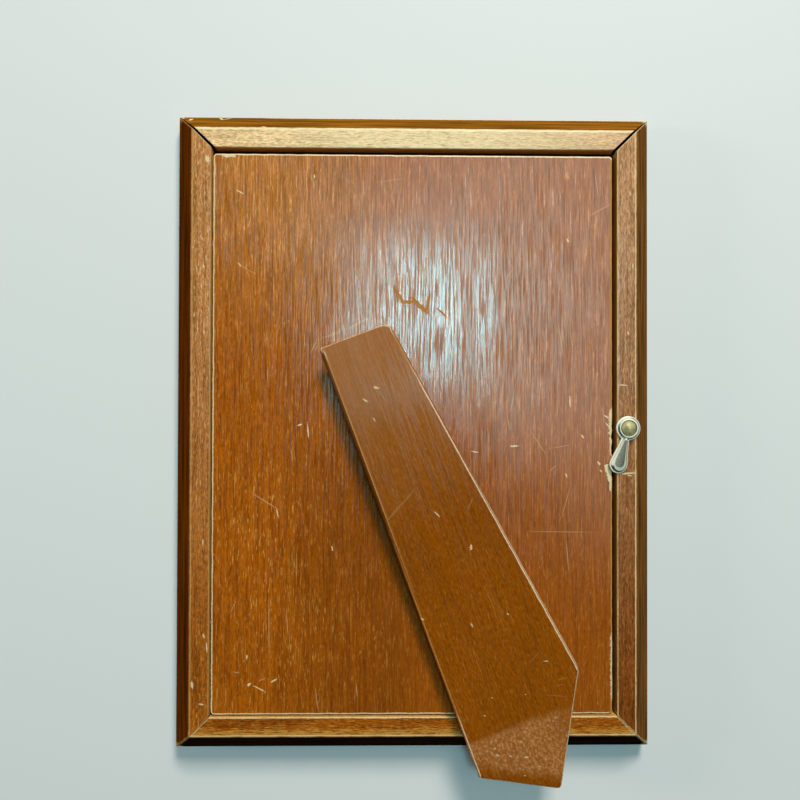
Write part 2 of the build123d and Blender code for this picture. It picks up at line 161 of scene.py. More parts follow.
# %% [markdown]
# ## Shader sums that read like sums
# A procedural finish is a long sum: grain plus pores, minus wear, times a mask. Wiring it by
# hand hides that, so a small class wraps a socket and Python's own operators add the Math
# nodes. Its methods go on from there: a fade between two limits, noise drawn out into grain,
# and, when the socket carries a colour, a tint, a shade or a coat of another colour.

# %% A socket that can be added, multiplied and compared


class Value:
    """One output socket of a finish. Arithmetic on it adds Math nodes."""

    def __init__(self, finish, socket):
        self.finish, self.socket = finish, socket

    def math(self, operation, *others, clamp=False):
        settings = {"operation": operation, "use_clamp": clamp}
        return self.finish.node("ShaderNodeMath", settings, dict(enumerate((self, *others))))

    def __add__(self, other):
        return self.math("ADD", other)

    def __sub__(self, other):
        return self.math("SUBTRACT", other)

    def __rsub__(self, other):
        return (self * -1) + other

    def __mul__(self, other):
        return self.math("MULTIPLY", other)

    def __truediv__(self, other):
        return self.math("DIVIDE", other)

    __radd__, __rmul__ = __add__, __mul__

    def size(self):
        return self.math("ABSOLUTE")

    def least(self, other):
        return self.math("MINIMUM", other)

    def most(self, other):
        return self.math("MAXIMUM", other)

    def clamp(self):
        return self.math("ADD", 0.0, clamp=True)

    def fade(self, start, end):
        """0 at start and 1 at end, with a smooth step between; start may be the larger."""
        settings = {"interpolation_type": "SMOOTHSTEP"}
        sockets = {"Value": self, "From Min": start, "From Max": end}
        return self.finish.node("ShaderNodeMapRange", settings, sockets)

    def axes(self):
        """The three parts of a vector."""
        split = self.finish.node("ShaderNodeSeparateXYZ", sockets={0: self}).socket.node
        return [Value(self.finish, output) for output in split.outputs]

    def length(self):
        return self.finish.vector_math("LENGTH", self, output="Value")

    def grain(self, across, along, height, shift, detail=2.0, roughness=0.5):
        """Noise at this place, scaled on each axis, so that it runs out into grain."""
        scaled = self.finish.vector_math("MULTIPLY", self, (across, along, height))
        shifted = self.finish.vector_math("ADD", scaled, (shift, shift * 0.37, shift * 0.71))
        sockets = {"Vector": shifted, "Scale": 1.0, "Detail": detail, "Roughness": roughness}
        return self.finish.node("ShaderNodeTexNoise", sockets=sockets)

    def tinted(self, tint):
        """This colour times another colour, channel by channel."""
        settings = {"data_type": "RGBA", "blend_type": "MULTIPLY"}
        return self.finish.node("ShaderNodeMix", settings, {0: 1.0, 6: self, 7: tint}, output=2)

    def scaled(self, factor):
        """This colour times a number from a socket."""
        channels = dict.fromkeys(range(3), factor)
        return self.tinted(self.finish.node("ShaderNodeCombineColor", sockets=channels))

    def coated(self, mask, coat):
        """This colour under a coat of another one, laid on by a mask."""
        return self.finish.mix(mask, self, coat)


# %% [markdown]
# ## A finish grows node by node
# A finish on wood or metal is built in layers: ground, grain, stain, wear, polish. The class
# below holds one material. Its method node adds a node of any kind, fills its sockets and hands
# back the result as a value, so each finish reads from top to bottom in the order in which it
# was laid on. The method surface closes it with a shader.

# %% A finish that grows node by node


class Finish:
    """One procedural material."""

    def __init__(self, name):
        self.material = bpy.data.materials.new(name)
        self.material.use_nodes = True
        self.tree = self.material.node_tree
        self.tree.nodes.clear()

    def node(self, kind, settings=None, sockets=None, output=0):
        """Adds a node, sets it up, fills its sockets with numbers or links, returns an output."""
        node = self.tree.nodes.new(kind)
        for key, setting in (settings or {}).items():
            setattr(node, key, setting)
        for key, filling in (sockets or {}).items():
            socket = node.inputs[key]
            if isinstance(filling, Value):
                self.tree.links.new(filling.socket, socket)
            else:
                socket.default_value = (*filling, 1) if socket.type == "RGBA" else filling
        return Value(self, node.outputs[output]) if node.outputs else None

    def attribute(self, name, output="Fac"):
        return self.node("ShaderNodeAttribute", {"attribute_name": name}, output=output)

    def vector(self, x, y, z=0.0):
        return self.node("ShaderNodeCombineXYZ", sockets={0: x, 1: y, 2: z})

    def vector_math(self, operation, *vectors, output=0):
        settings = {"operation": operation}
        return self.node("ShaderNodeVectorMath", settings, dict(enumerate(vectors)), output)

    def object_place(self):
        """Where a point lies in its own object, in metres."""
        return self.node("ShaderNodeTexCoord", output="Object")

    def mix(self, mask, under, over):
        """Colour over another colour, by a mask."""
        settings = {"data_type": "RGBA", "clamp_factor": True}
        return self.node("ShaderNodeMix", settings, {0: mask, 6: under, 7: over}, output=2)

    def surface(self, colour, roughness, height=None, depth=0.0, **fixed):
        """Ends the finish in a Principled shader. height times depth (mm) becomes the bump."""
        sockets = {"Base Color": colour, "Roughness": roughness}
        if height is not None:
            bump = {"Strength": 1.0, "Distance": depth * MM, "Height": height}
            sockets["Normal"] = self.node("ShaderNodeBump", sockets=bump)
        sockets.update({key.replace("_", " "): filling for key, filling in fixed.items()})
        shader = self.node("ShaderNodeBsdfPrincipled", sockets=sockets)
        self.node("ShaderNodeOutputMaterial", sockets={"Surface": shader})
        return self.material


# %% [markdown]
# ## From a grid of points to a mesh
# Every new piece is a surface over two parameters, worked out as one numpy array. The helpers
# below stitch such a grid into quads, close its ends, turn millimetres into metres and store
# measures with each point: its place in the piece's own directions (across the grain, along it,
# and height), how far it lies from the worn edge, or how dark it is painted (dark lines and
# painted shade). The finishes read them. Each piece is then tied to the body that it moves with
# and to the imported part that it stands for.

# %% Stitch grids into meshes


def grid_faces(rows, columns):
    """Quads between neighbouring rows; the last column joins the first."""
    row, column = np.meshgrid(np.arange(rows - 1), np.arange(columns), indexing="ij")
    nearer, right = row * columns, (column + 1) % columns
    quads = [nearer + column, nearer + right, nearer + columns + right, nearer + columns + column]
    return np.stack(quads, -1).reshape(-1, 4).tolist()


def closed_tube(rows, columns):
    """The same quads, with one face over each open end."""
    ends = [list(range(columns)), list(range((rows - 1) * columns, rows * columns))]
    return grid_faces(rows, columns) + ends


def lifted(flat, height):
    """Plan points (x, y) with a height each, as (x, y, z)."""
    return np.concatenate([flat, np.broadcast_to(height, flat.shape[:-1])[..., None]], -1)


def turned_about_z(points, degrees):
    """Points turned anticlockwise about the Z axis."""
    c, s = cos(radians(degrees)), sin(radians(degrees))
    return points @ np.array([[c, s, 0], [-s, c, 0], [0, 0, 1]])


def add_piece(name, points, faces, material, body, node, measures=None, soft_angle=32.0):
    """Makes one closed object from points in mm; measures are stored for the finish.
    The piece rides on a body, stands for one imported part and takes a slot's finish."""
    mesh = bpy.data.meshes.new(name)
    mesh.from_pydata((np.asarray(points).reshape(-1, 3) * MM).tolist(), [], faces)
    for key, values in (measures or {}).items():
        is_vector = values.size == len(mesh.vertices) * 3
        kind, field = ("FLOAT_VECTOR", "vector") if is_vector else ("FLOAT", "value")
        data = mesh.attributes.new(key, kind, "POINT").data
        data.foreach_set(field, values.astype(np.float32).ravel())
    shell = bmesh.new()
    shell.from_mesh(mesh)
    bmesh.ops.remove_doubles(shell, verts=shell.verts, dist=WELD)
    bmesh.ops.dissolve_degenerate(shell, edges=shell.edges, dist=SLIVER)
    bmesh.ops.recalc_face_normals(shell, faces=shell.faces)
    open_edges = sum(not edge.is_manifold for edge in shell.edges)
    shell.to_mesh(mesh)
    shell.free()
    mesh.polygons.foreach_set("use_smooth", np.ones(len(mesh.polygons), dtype=bool))
    mesh.set_sharp_from_angle(angle=radians(soft_angle))
    mesh.materials.append(material)
    piece = bpy.data.objects.new(name, mesh)
    scene.collection.objects.link(piece)
    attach(piece, body)
    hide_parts(node)
    print(f"{name}: {len(mesh.polygons)} faces, {open_edges} open edges")


# %% [markdown]
# ## Outlines with rounded corners, and a hand's unevenness
# A rounded outline is worked out corner by corner: each corner is a short arc between its two
# tangent points, and the straight runs between arcs are cut into even steps. Old edges aren't
# even, so a sum of a few sine waves with fixed phases gives a smooth, repeatable wobble.

# %% Outline and wobble helpers


def rounded_loop(corners, spacing, arc_steps=6):
    """Closed outline from (x, y, radius) corners: arcs at the corners, even steps between."""
    corner = np.array([c[:2] for c in corners], dtype=float)
    radius = np.array([c[2] for c in corners], dtype=float)
    back = np.roll(corner, 1, axis=0) - corner
    ahead = np.roll(corner, -1, axis=0) - corner
    back /= np.linalg.norm(back, axis=1)[:, None]
    ahead /= np.linalg.norm(ahead, axis=1)[:, None]
    half = np.arccos(np.clip((back * ahead).sum(1), -1, 1)) / 2
    bisector = (back + ahead) / np.linalg.norm(back + ahead, axis=1)[:, None]
    centre = corner + bisector * (radius / np.sin(half))[:, None]
    tangent = (radius / np.tan(half))[:, None]
    first, last = corner + back * tangent - centre, corner + ahead * tangent - centre
    turn = np.arctan2(
        first[:, 0] * last[:, 1] - first[:, 1] * last[:, 0], (first * last).sum(1)
    )
    step = np.linspace(0, 1, arc_steps + 1)[None, :] * turn[:, None]
    arcs = np.stack([
        first[:, :1] * np.cos(step) - first[:, 1:] * np.sin(step),
        first[:, :1] * np.sin(step) + first[:, 1:] * np.cos(step),
    ], -1) + centre[:, None]
    runs = []
    for arc, following in zip(arcs, np.roll(arcs, -1, axis=0)):
        count = max(1, ceil(hypot(*(following[0] - arc[-1])) / spacing))
        share = np.linspace(0, 1, count + 1)[1:-1, None]
        runs += [arc, arc[-1] + (following[0] - arc[-1]) * share]
    loop = np.concatenate(runs)
    keep = np.linalg.norm(loop - np.roll(loop, 1, axis=0), axis=1) > 1e-4
    return loop[keep]


def loop_normals(loop):
    """Unit vectors to the right of the way that the loop runs."""
    ahead = np.roll(loop, -1, axis=0) - loop
    behind = loop - np.roll(loop, 1, axis=0)
    ahead /= np.linalg.norm(ahead, axis=1)[:, None]
    behind /= np.linalg.norm(behind, axis=1)[:, None]
    tangent = ahead + behind
    tangent /= np.linalg.norm(tangent, axis=1)[:, None]
    return np.stack([tangent[:, 1], -tangent[:, 0]], -1)


def smooth_step(value, start, end):
    """0 at start, 1 at end and an even S-curve between."""
    share = np.clip((value - start) / (end - start), 0, 1)
    return share * share * (3 - 2 * share)


def wobble(position, wavelength, seed, waves=7):
    """Smooth curve between about -1 and 1: sine waves near one wavelength, fixed by the seed."""
    dice = np.random.default_rng(seed)
    rate = 2 * pi / (wavelength * dice.uniform(0.6, 1.9, waves))
    phase = dice.uniform(0, 2 * pi, waves)
    total = np.sin(np.asarray(position)[..., None] * rate + phase).sum(-1)
    return total / sqrt(waves)


# %% [markdown]
# ## The wood: one ground, many tones
# All the wood is the same plain, straight-grained timber under a brown, glossy lacquer, but
# each part was lit, handled and rubbed differently. So one helper lays the ground: body tone,
# darker streaks and short pale flecks along the grain, slow clouds, and the fine relief that
# lets the lacquer sink into the pores. Each part then gets its own tones, worn edges and knocks.

# %% The wood's ground


def wood_ground(finish, body, streak, fleck, seed, flecks=1.0, grit=1.0):
    """Colour, roughness and height of lacquered wood whose grain runs along the second axis."""
    place = finish.attribute("grain", "Vector")
    across, along, height = place.axes()
    lean = place.grain(0.04, 0.012, 0.04, seed, 1.0) - 0.5
    bent = finish.vector(across + lean * 2.4, along, height)
    lines = bent.grain(1.15, 0.045, 1.15, seed, 4.0, 0.72)
    short = bent.grain(2.4, 0.60, 2.4, seed + 3, 3.0, 0.7)
    pores = bent.grain(3.4, 0.34, 3.4, seed + 7, 1.0)
    lights = bent.grain(3.0, 0.07, 3.0, seed + 9, 1.0)
    threads = bent.grain(2.1, 0.06, 2.1, seed + 5, 2.0, 0.6)
    cloud = place.grain(0.035, 0.022, 0.035, seed + 11, 3.0, 0.55)
    dark = lines.fade(0.56, 0.38)
    colour = finish.mix(dark * 0.9, body, streak)
    patchy = cloud.fade(0.30, 0.72) * 0.6 + 0.4
    fleck_mask = (pores.fade(0.62, 0.70) * patchy).most(lights.fade(0.69, 0.74) * 0.9) * flecks
    colour = colour.coated(fleck_mask, fleck)
    colour = colour.scaled((short - 0.5) * (1.5 * grit) + cloud * 0.4 + 0.8)
    roughness = dark * 0.06 + threads.fade(0.49, 0.55) * 0.28 + 0.11
    relief = lines * 0.4 + threads * 1.2 + short * 0.2
    return place, colour, roughness, relief


# %% [markdown]
# ## Wear
# Lacquer goes first where hands and tables touch: along the arrises, where bare timber shows as
# a thin pale line, and at knocks and scratches. A scratch is a stroke between two points, and
# its mask comes from the distance to that stroke. Many strokes share one mask by taking the
# nearest of them, so that a whole panel's scratches cost one colour change.

# %% Strokes and worn edges


def nearest_stroke(place, strokes):
    """Distance to the nearest stroke, in widths. A stroke is (x, y, x, y, half width) in mm."""
    finish, nearest = place.finish, None
    for x0, y0, x1, y1, width in strokes:
        run = hypot(x1 - x0, y1 - y0) / 2 + width
        turned = finish.node("ShaderNodeMapping", {"vector_type": "TEXTURE"}, {
            "Vector": place, "Location": ((x0 + x1) / 2, (y0 + y1) / 2, 0),
            "Rotation": (0, 0, atan2(y1 - y0, x1 - x0)), "Scale": (run, width, 1e4),
        })
        distance = turned.length()
        nearest = distance if nearest is None else nearest.least(distance)
    return nearest


def stroke_mask(place, strokes, seed, ragged=0.9):
    """1 on the strokes and 0 off them, with ragged borders and gaps."""
    rough = place.grain(3.1, 3.1, 0, seed) - 0.5
    return (nearest_stroke(place, strokes) + rough * ragged * 2).fade(1.15, 0.65)


def worn_line(place, distance, width, seed, gaps=0.5):
    """Pale line where distance (mm) is under width, thinner and thicker along the edge."""
    slow = place.grain(0.12, 0.12, 0.12, seed)
    quick = place.grain(1.3, 1.3, 1.3, seed + 5)
    reach = (slow - 0.5) * (2.2 * gaps * width) + (quick - 0.5) * (1.4 * width) + width
    return (distance - reach).fade(0.08, -0.08)


# %% [markdown]
# ## Finish of the mouldings
# A moulding's back land is rubbed lighter than its flared side, which kept its dark stain, and
# that side's tone is painted light and shade: lightest on the upper rail, which faces the lamps,
# nearly black on the lower one, which faces away. The upper rail is nearly bare, with a painted
# sheen along its middle; the lower one is dark, with golden fibres along its outer edge. The
# stiles' lands are painted lighter and bluer towards their upper ends, a painted sheen. Close to
# a mitre the joint itself shows as a dark hairline between two pale, eased edges.

# %% Make the mouldings' finishes
LAND_CORNERS = (FLARE, RABBET_INSET)
LINE_INSETS = (0.24, -0.16)                 # the worn lines lie that far onto the land
# Rabbet wall: painted light on its upper part, painted shade deeper in
LIT_WALL, SHADED_WALL = (0.80, 0.46, 0.12), (0.10, 0.035, 0.008)
FRONT_STAIN, DARK_JOINT = (0.17, 0.055, 0.008), (0.02, 0.008, 0.003)


def moulding_finish(name, seed, length, body, streak, fleck, side, lines, line_tone,
                    ends=((1, 1, 1), (1, 1, 1)), marks=(), extra=None):
    """Finish of one moulding: its land's tones, the stain of its outer side, which carries painted
    light and shade, the half widths of its two worn lines, and how the land's colour is multiplied
    towards its two ends."""
    finish = Finish(name)
    place, colour, roughness, relief = wood_ground(finish, body, streak, fleck, seed, grit=1.8)
    across, along, height = place.axes()
    colour = colour.tinted(finish.mix(along.fade(-length * 0.45, length * 0.45), *ends))
    below = height * -1 + FRAME_DEPTH
    # Away from the back land: darker stain outside, painted darker as shade where a side faces
    # away from the light; inside, the rabbet wall is painted lit near the back and in painted
    # shade deeper down
    off_land = (below - 0.3).fade(0.0, 0.4)
    stripes = place.grain(0.9, 0.035, 0.9, seed + 40, 3.0, 0.6)
    stain = finish.mix(height.fade(5.5, 2.0), side, FRONT_STAIN)
    stain = stain.scaled(stripes.fade(0.25, 0.75) * 1.2 + 0.4)
    inside = (across - (RABBET_INSET - 0.6)).fade(0.0, 0.4)
    wall = finish.mix(below.fade(6.4, 4.6), SHADED_WALL, LIT_WALL)
    colour = colour.coated(off_land, finish.mix(inside, stain, wall))
    if extra:
        colour = extra(place, colour, off_land)
    # Worn arrises on both sides of the land, by distance from the sharp corner
    for corner, inset, width, shift in zip(LAND_CORNERS, LINE_INSETS, lines, (21, 33)):
        if width:
            distance = finish.vector(across - (corner + inset), below).length()
            mask = worn_line(place, distance, width, seed + shift)
            colour = colour.coated(mask * 0.9, line_tone)
            roughness = roughness + mask * 0.2
    # Mitre: distance from the cut, which runs at 45 degrees from the outer corner
    to_cut = (along.size() * -1 + (length / 2) - across) * sqrt(0.5)
    ease = place.grain(0.9, 0.9, 0.9, seed + 51, 2.0)
    pale = (to_cut - ease * 0.6).fade(0.12, -0.05) * 0.6
    # The outer corners took the knocks
    corner_wear = (to_cut + across * 0.8 - ease * 2.3).fade(0.6, -0.6)
    colour = colour.coated(pale.most(corner_wear * 0.7), line_tone)
    colour = colour.coated(to_cut.fade(0.12, 0.04), DARK_JOINT)
    if marks:
        on_land = below.fade(0.6, 0.3)
        mask = stroke_mask(place, marks, seed + 61, ragged=0.7) * on_land
        colour = colour.coated(mask * 0.9, (0.85, 0.66, 0.38))
    # The land kept some lacquer, the sides are matt
    gloss = 1 - off_land
    return finish.surface(
        colour, roughness + 0.2, relief, depth=0.02, Specular_IOR_Level=0.0,
        Coat_Weight=gloss * 0.30, Coat_Roughness=0.24,
    )


def golden_fibres(place, colour, off_land):
    """Rubbed fibres along the outer half of the lower rail's land."""
    across = place.axes()[0]
    fibres = place.grain(3.2, 0.35, 3.2, 77, 3.0, 0.7)
    band = across.fade(RABBET_INSET - 1.5, FLARE + 0.2)
    mask = (fibres + band * 0.20).fade(0.56, 0.72) * (1 - off_land)
    return colour.coated(mask * 0.85, (0.66, 0.30, 0.05))


def bare_and_sheen_middle(place, colour, off_land):
    """The upper rail's land, rubbed nearly bare between its ends and painted with a sheen along
    its middle, with broken dark pores.
    """
    across, along, height = place.axes()
    middle = ((along + 8.0).size() / (FRAME_WIDTH / 2)).fade(1.05, 0.15)
    pores = place.grain(2.8, 0.32, 2.8, 91, 3.0, 0.7)
    on_land = 1 - off_land
    # The cream coat of the middle is partly bare wood and partly a painted sheen of the lamps
    colour = colour.coated(middle * 0.60 * on_land, (1.0, 0.85, 0.49))
    colour = colour.coated(pores.fade(0.52, 0.66) * on_land * 0.85, (0.52, 0.31, 0.13))
    # Its outer edge is worn to a pale line except near the left corner, and chipped there
    edge = place.finish.vector(across, height - SIDE_HEIGHT).length()
    pale = worn_line(place, edge, 0.34, 105, gaps=0.3) * along.fade(50.0, 46.0)
    chips = stroke_mask(place, TOP_CHIPS, 107, ragged=0.8)
    return colour.coated(pale.most(chips) * 0.9, (0.98, 0.80, 0.50))


TOP_CHIPS = [
    (1.1, 71.9, 1.4, 72.5, 0.40), (0.5, 62.9, 0.9, 62.2, 0.34), (1, 61.8, 0.4, 59.6, 0.16),
    (4.9, 48.8, 5, 47.4, 0.18),
]
LEFT_MARKS = [
    (10.3, -86.6, 10.6, -85.6, 0.75), (9.9, 64, 10.2, 64.8, 0.3), (8.7, 85.7, 9.9, 85.9, 0.25),
    (6.4, 79, 6.6, 80.6, 0.4), (9.6, 34, 9.7, 36, 0.2), (10.9, 66.5, 11.1, 69.5, 0.2),
]
RIGHT_MARKS = [
    (6.1, -13, 10.8, -13.3, 0.28), (8.6, 14.8, 11.2, 15, 0.2), (8, 31, 8.3, 31.8, 0.25),
    (7.2, -13.9, 8.4, -13.8, 0.18), (10.6, -2.5, 11.2, -5.5, 0.35), (6.6, 52, 6.7, 53.5, 0.2),
]
# Side tones are painted light and shade: the upper rail's side, facing the lamps, is lightest, the
# lower rail's, facing away, nearly black, the stiles' in between.
moulding_finishes = {
    "rail_top": moulding_finish(
        "bare_and_sheen_lacquered_wood", 3, FRAME_WIDTH,
        body=(0.98, 0.665, 0.335), streak=(0.66, 0.44, 0.20), fleck=(1.0, 0.85, 0.52),
        side=(0.25, 0.092, 0.008), lines=(0.26, 0.0), line_tone=(0.98, 0.84, 0.50),
        ends=((0.88, 0.70, 0.72), (1.04, 0.98, 0.98)), extra=bare_and_sheen_middle,
    ),
    "rail_bottom": moulding_finish(
        "dark_lacquered_wood", 13, FRAME_WIDTH,
        body=(0.36, 0.084, 0.002), streak=(0.21, 0.047, 0.002), fleck=(0.50, 0.18, 0.030),
        side=(0.020, 0.007, 0.002), lines=(0.24, 0.30), line_tone=(0.88, 0.60, 0.27),
        extra=golden_fibres,
    ),
    # On the stiles, ends paints a sheen: the land is painted lighter and bluer towards the upper
    # end
    "stile_left": moulding_finish(
        "left_lacquered_wood", 23, FRAME_HEIGHT,
        body=(0.47, 0.150, 0.036), streak=(0.27, 0.080, 0.014), fleck=(0.66, 0.32, 0.13),
        side=(0.120, 0.026, 0.001), lines=(0.15, 0.16), line_tone=(0.60, 0.32, 0.10),
        ends=((1.25, 1.65, 2.2), (0.88, 0.75, 0.25)), marks=LEFT_MARKS,
    ),
    "stile_right": moulding_finish(
        "right_lacquered_wood", 31, FRAME_HEIGHT,
        body=(0.40, 0.146, 0.043), streak=(0.25, 0.079, 0.019), fleck=(0.60, 0.30, 0.13),
        side=(0.180, 0.070, 0.016), lines=(0.16, 0.15), line_tone=(0.90, 0.66, 0.32),
        ends=((0.62, 0.45, 0.18), (1.40, 1.85, 2.7)), marks=RIGHT_MARKS,
    ),
}
print("mouldings:", len(moulding_finishes), "finishes")

# %% [markdown]
# ## The mouldings
# A moulding is one section carried along a straight line. The section runs round the front
# land, the bead at the sight edge, the lip, the rabbet wall, the back land and the flared side.
# Each point of the section travels as far as its own mitre allows, so the two ends come out
# cut at 45 degrees. On the upper rail the timber has shrunk, and the cut leans away from the
# joint: it opens from nothing at the outer corner to nearly a millimetre at the inner one.
# Brads hold the corners, so the stiles' sides get small round holes in front of the heads.

# %% Carry the section along each side
MITRE_OPENING_PER_U, MITRE_OPENING_PER_Z = 0.027, 0.038
BRAD_HEIGHT, BRAD_HOLE_RADIUS, BRAD_HOLE_DEPTH = 3.4, 0.9, 0.55
BRAD_OFFSETS = (4.5, 9.0)
EASE_DEPTH, EASE_REACH, BITE_DEPTH, BITE_REACH = 0.10, 0.35, 0.14, 0.6

section = rounded_loop([
    (0, 0, 2.0), (FRONT_LAND, 0, 0.2), (FRONT_LAND, FRONT_STEP, 0), (SIGHT_INSET, FRONT_STEP, 2.0),
    (SIGHT_INSET, LIP_THICKNESS, 0), (RABBET_INSET, LIP_THICKNESS, 0),
    (RABBET_INSET, FRAME_DEPTH, 0.35), (FLARE, FRAME_DEPTH, 0.6), (0, SIDE_HEIGHT, 0.8),
], spacing=0.8)
section_out = loop_normals(section)
print("section points:", len(section))


def row_places(length):
    """Places along the outer side: even steps, closer at the ends and at the brads' holes."""
    half = length / 2
    even = np.arange(-half, half, 1.0)
    ends = half - np.array([0, 0.06, 0.12, 0.2, 0.3, 0.42, 0.6, 0.85, 1.2, 1.6])
    holes = half - np.add.outer(BRAD_OFFSETS, np.arange(-1.2, 1.21, 0.15)).ravel()
    fine = np.concatenate([ends, holes])
    return np.unique(np.round(np.concatenate([even, fine, -fine]), 3))


def mitred_moulding(node, length, turn, reach, per_u=0.0, per_z=0.0, brads=False):
    """One side: point (u, z) of the section runs from -x to x, where x is half the length less
    the mitre's inset at that point, and the arrises are bitten by a slow wobble."""
    u, z = section.T
    inset = u * (1 + sqrt(2) * per_u) + z * sqrt(2) * per_z
    share = row_places(length) / (length / 2)
    x = share[:, None] * (length / 2 - inset)[None, :]
    to_cut = (length / 2 - inset)[None, :] * (1 - np.abs(share))[:, None] * sqrt(0.5)
    ease = EASE_DEPTH * np.clip(1 - to_cut / EASE_REACH, 0, 1) ** 2
    bite = np.zeros_like(x)
    for number, corner in enumerate(LAND_CORNERS):
        near = np.exp(-(((u - corner) ** 2 + (z - FRAME_DEPTH) ** 2) / BITE_REACH ** 2))
        depth = BITE_DEPTH * np.clip(wobble(x, 9.0, turn + 5 + number) - 0.2, 0, 1)
        bite += near[None, :] * depth
    inwards = (ease + bite)[..., None] * -section_out[None]
    shape = np.broadcast_to(section[None], inwards.shape) + inwards
    if brads:
        for offset in BRAD_OFFSETS:
            away = np.hypot(np.abs(x) - (length / 2 - offset), z[None] - BRAD_HEIGHT)
            hole = np.clip((BRAD_HOLE_RADIUS - away) / 0.1, 0, 1) * (u[None] < 0.01)
            shape = shape + np.stack([hole * BRAD_HOLE_DEPTH, np.zeros_like(hole)], -1)
    local = np.stack([x, shape[..., 0] - reach, shape[..., 1]], -1)
    grain = np.stack([np.broadcast_to(u, x.shape), x, np.broadcast_to(z, x.shape)], -1)
    add_piece(
        f"{node}_moulding", turned_about_z(local, turn) + [0, CENTRE[1], 0], closed_tube(*x.shape),
        moulding_finishes[node], "frame", node, {"grain": grain},
    )


mitred_moulding("rail_bottom", FRAME_WIDTH, 0, FRAME_HEIGHT / 2)
mitred_moulding("stile_right", FRAME_HEIGHT, 90, FRAME_WIDTH / 2, brads=True)
mitred_moulding(
    "rail_top", FRAME_WIDTH, 180, FRAME_HEIGHT / 2, MITRE_OPENING_PER_U, MITRE_OPENING_PER_Z
)
mitred_moulding("stile_left", FRAME_HEIGHT, 270, FRAME_WIDTH / 2, brads=True)

# %% [markdown]
# ## A slab with eased edges
# The back panel and the strut are both flat boards with square sides and rounded upper arrises.
# Such a board is its outline, drawn in step by step: straight up the side, round the arris as a
# quarter circle, and a little way onto the flat, which one last face closes.

# %% Build a board from an outline


def board(outline, low, high, arris, line_inset, bite):
    """Rings of an outline that moves in by r(1 - sin a) while it rises to high - r(1 - cos a).
    bite is an extra draw-in at each outline point, full at the top and none at the bottom.
    Also gives each point's distance inwards from the worn line, which lies line_inset in."""
    outwards = loop_normals(outline)
    angle = np.linspace(0, pi / 2, 9)
    inset = np.concatenate([
        [0.3, 0.1, 0, 0, 0, 0], arris * (1 - np.cos(angle)), [arris + 0.15, arris + 0.35],
    ])
    side = high - arris
    height = np.concatenate([
        [low, low + 0.05, low + 0.2], np.linspace(low + 0.2, side, 5)[1:4],
        side + arris * np.sin(angle), [high, high],
    ])
    draw = inset[:, None] + bite * ((height - low) / (high - low))[:, None] ** 2
    ring = outline[None] - outwards[None] * draw[..., None]
    rim = inset[:, None] - np.broadcast_to(line_inset, ring.shape[:2])
    rim[-1] = FAR_INSIDE                    # so that no line spreads over the flat
    return lifted(ring, height[:, None]), closed_tube(*ring.shape[:2]), rim


# %% [markdown]
# ## Finish of the back panel
# The panel is the largest surface and the most handled: redder towards the right, more orange
# towards the lower left, with pale flecks all over. A painted sheen lies over its upper right, and
# a painted shadow of the strut darkens its lower middle. Its upper arris is worn to a thin line.
# Where the turn button sweeps over the right edge, the timber is chipped and bare. Strokes are
# listed in millimetres from the panel's middle.

# %% Make the panel's finish
PANEL_LOW, PANEL_HIGH = node_box("back_panel")
PANEL_CENTRE = (PANEL_LOW + PANEL_HIGH) / 2
PANEL_HALF = (PANEL_HIGH - PANEL_LOW) / 2
PANEL_ARRIS, PANEL_LINE = 0.6, 0.34         # the worn line lies that far in from the side
PANEL_TONES = (0.455, 0.110, 0.002), (0.290, 0.062, 0.001), (0.66, 0.27, 0.05)

PANEL_NICKS = [
    (-55.8, 77, -54, 76, 0.2), (-55.6, 54, -54.6, 53, 0.18), (49, 62.3, 49.7, 61.2, 0.22),
    (31, -4, 33.5, -3.8, 0.3), (48.7, -12.6, 49, -13.6, 0.22), (59.1, -9, 59.5, -9.5, 0.35),
    (53.8, -0.4, 54.4, -1.2, 0.25), (-43, -24, -42.5, -26.6, 0.2), (-36.4, 2.5, -35.2, 2.9, 0.25),
    (-33.4, 3, -33, -1.5, 0.22), (-52.2, -69.9, -52.2, -71, 0.25),
    (-51.7, -79.4, -51.1, -78.9, 0.36), (-49.9, -79.6, -46.6, -81.4, 0.18),
    (-44.4, -78.4, -43, -77.6, 0.26), (50, 12, 50.2, 8.6, 0.2), (-31.5, 82, -31.5, 81.4, 0.25),
    (19, -5.6, 20.8, -5.9, 0.2), (-25.5, -35.7, -25.3, -37.1, 0.2), (61, 6, 62.6, 5, 0.25),
    (61.6, 3.4, 62.8, 2.2, 0.2), (59.7, -11.4, 60.2, -12, 0.2), (-60.2, 88.1, -58.4, 88, 0.55),
    (-58.2, 88.3, -56.8, 87.9, 0.42), (62.8, -16.4, 63.2, -18.2, 0.3),
]
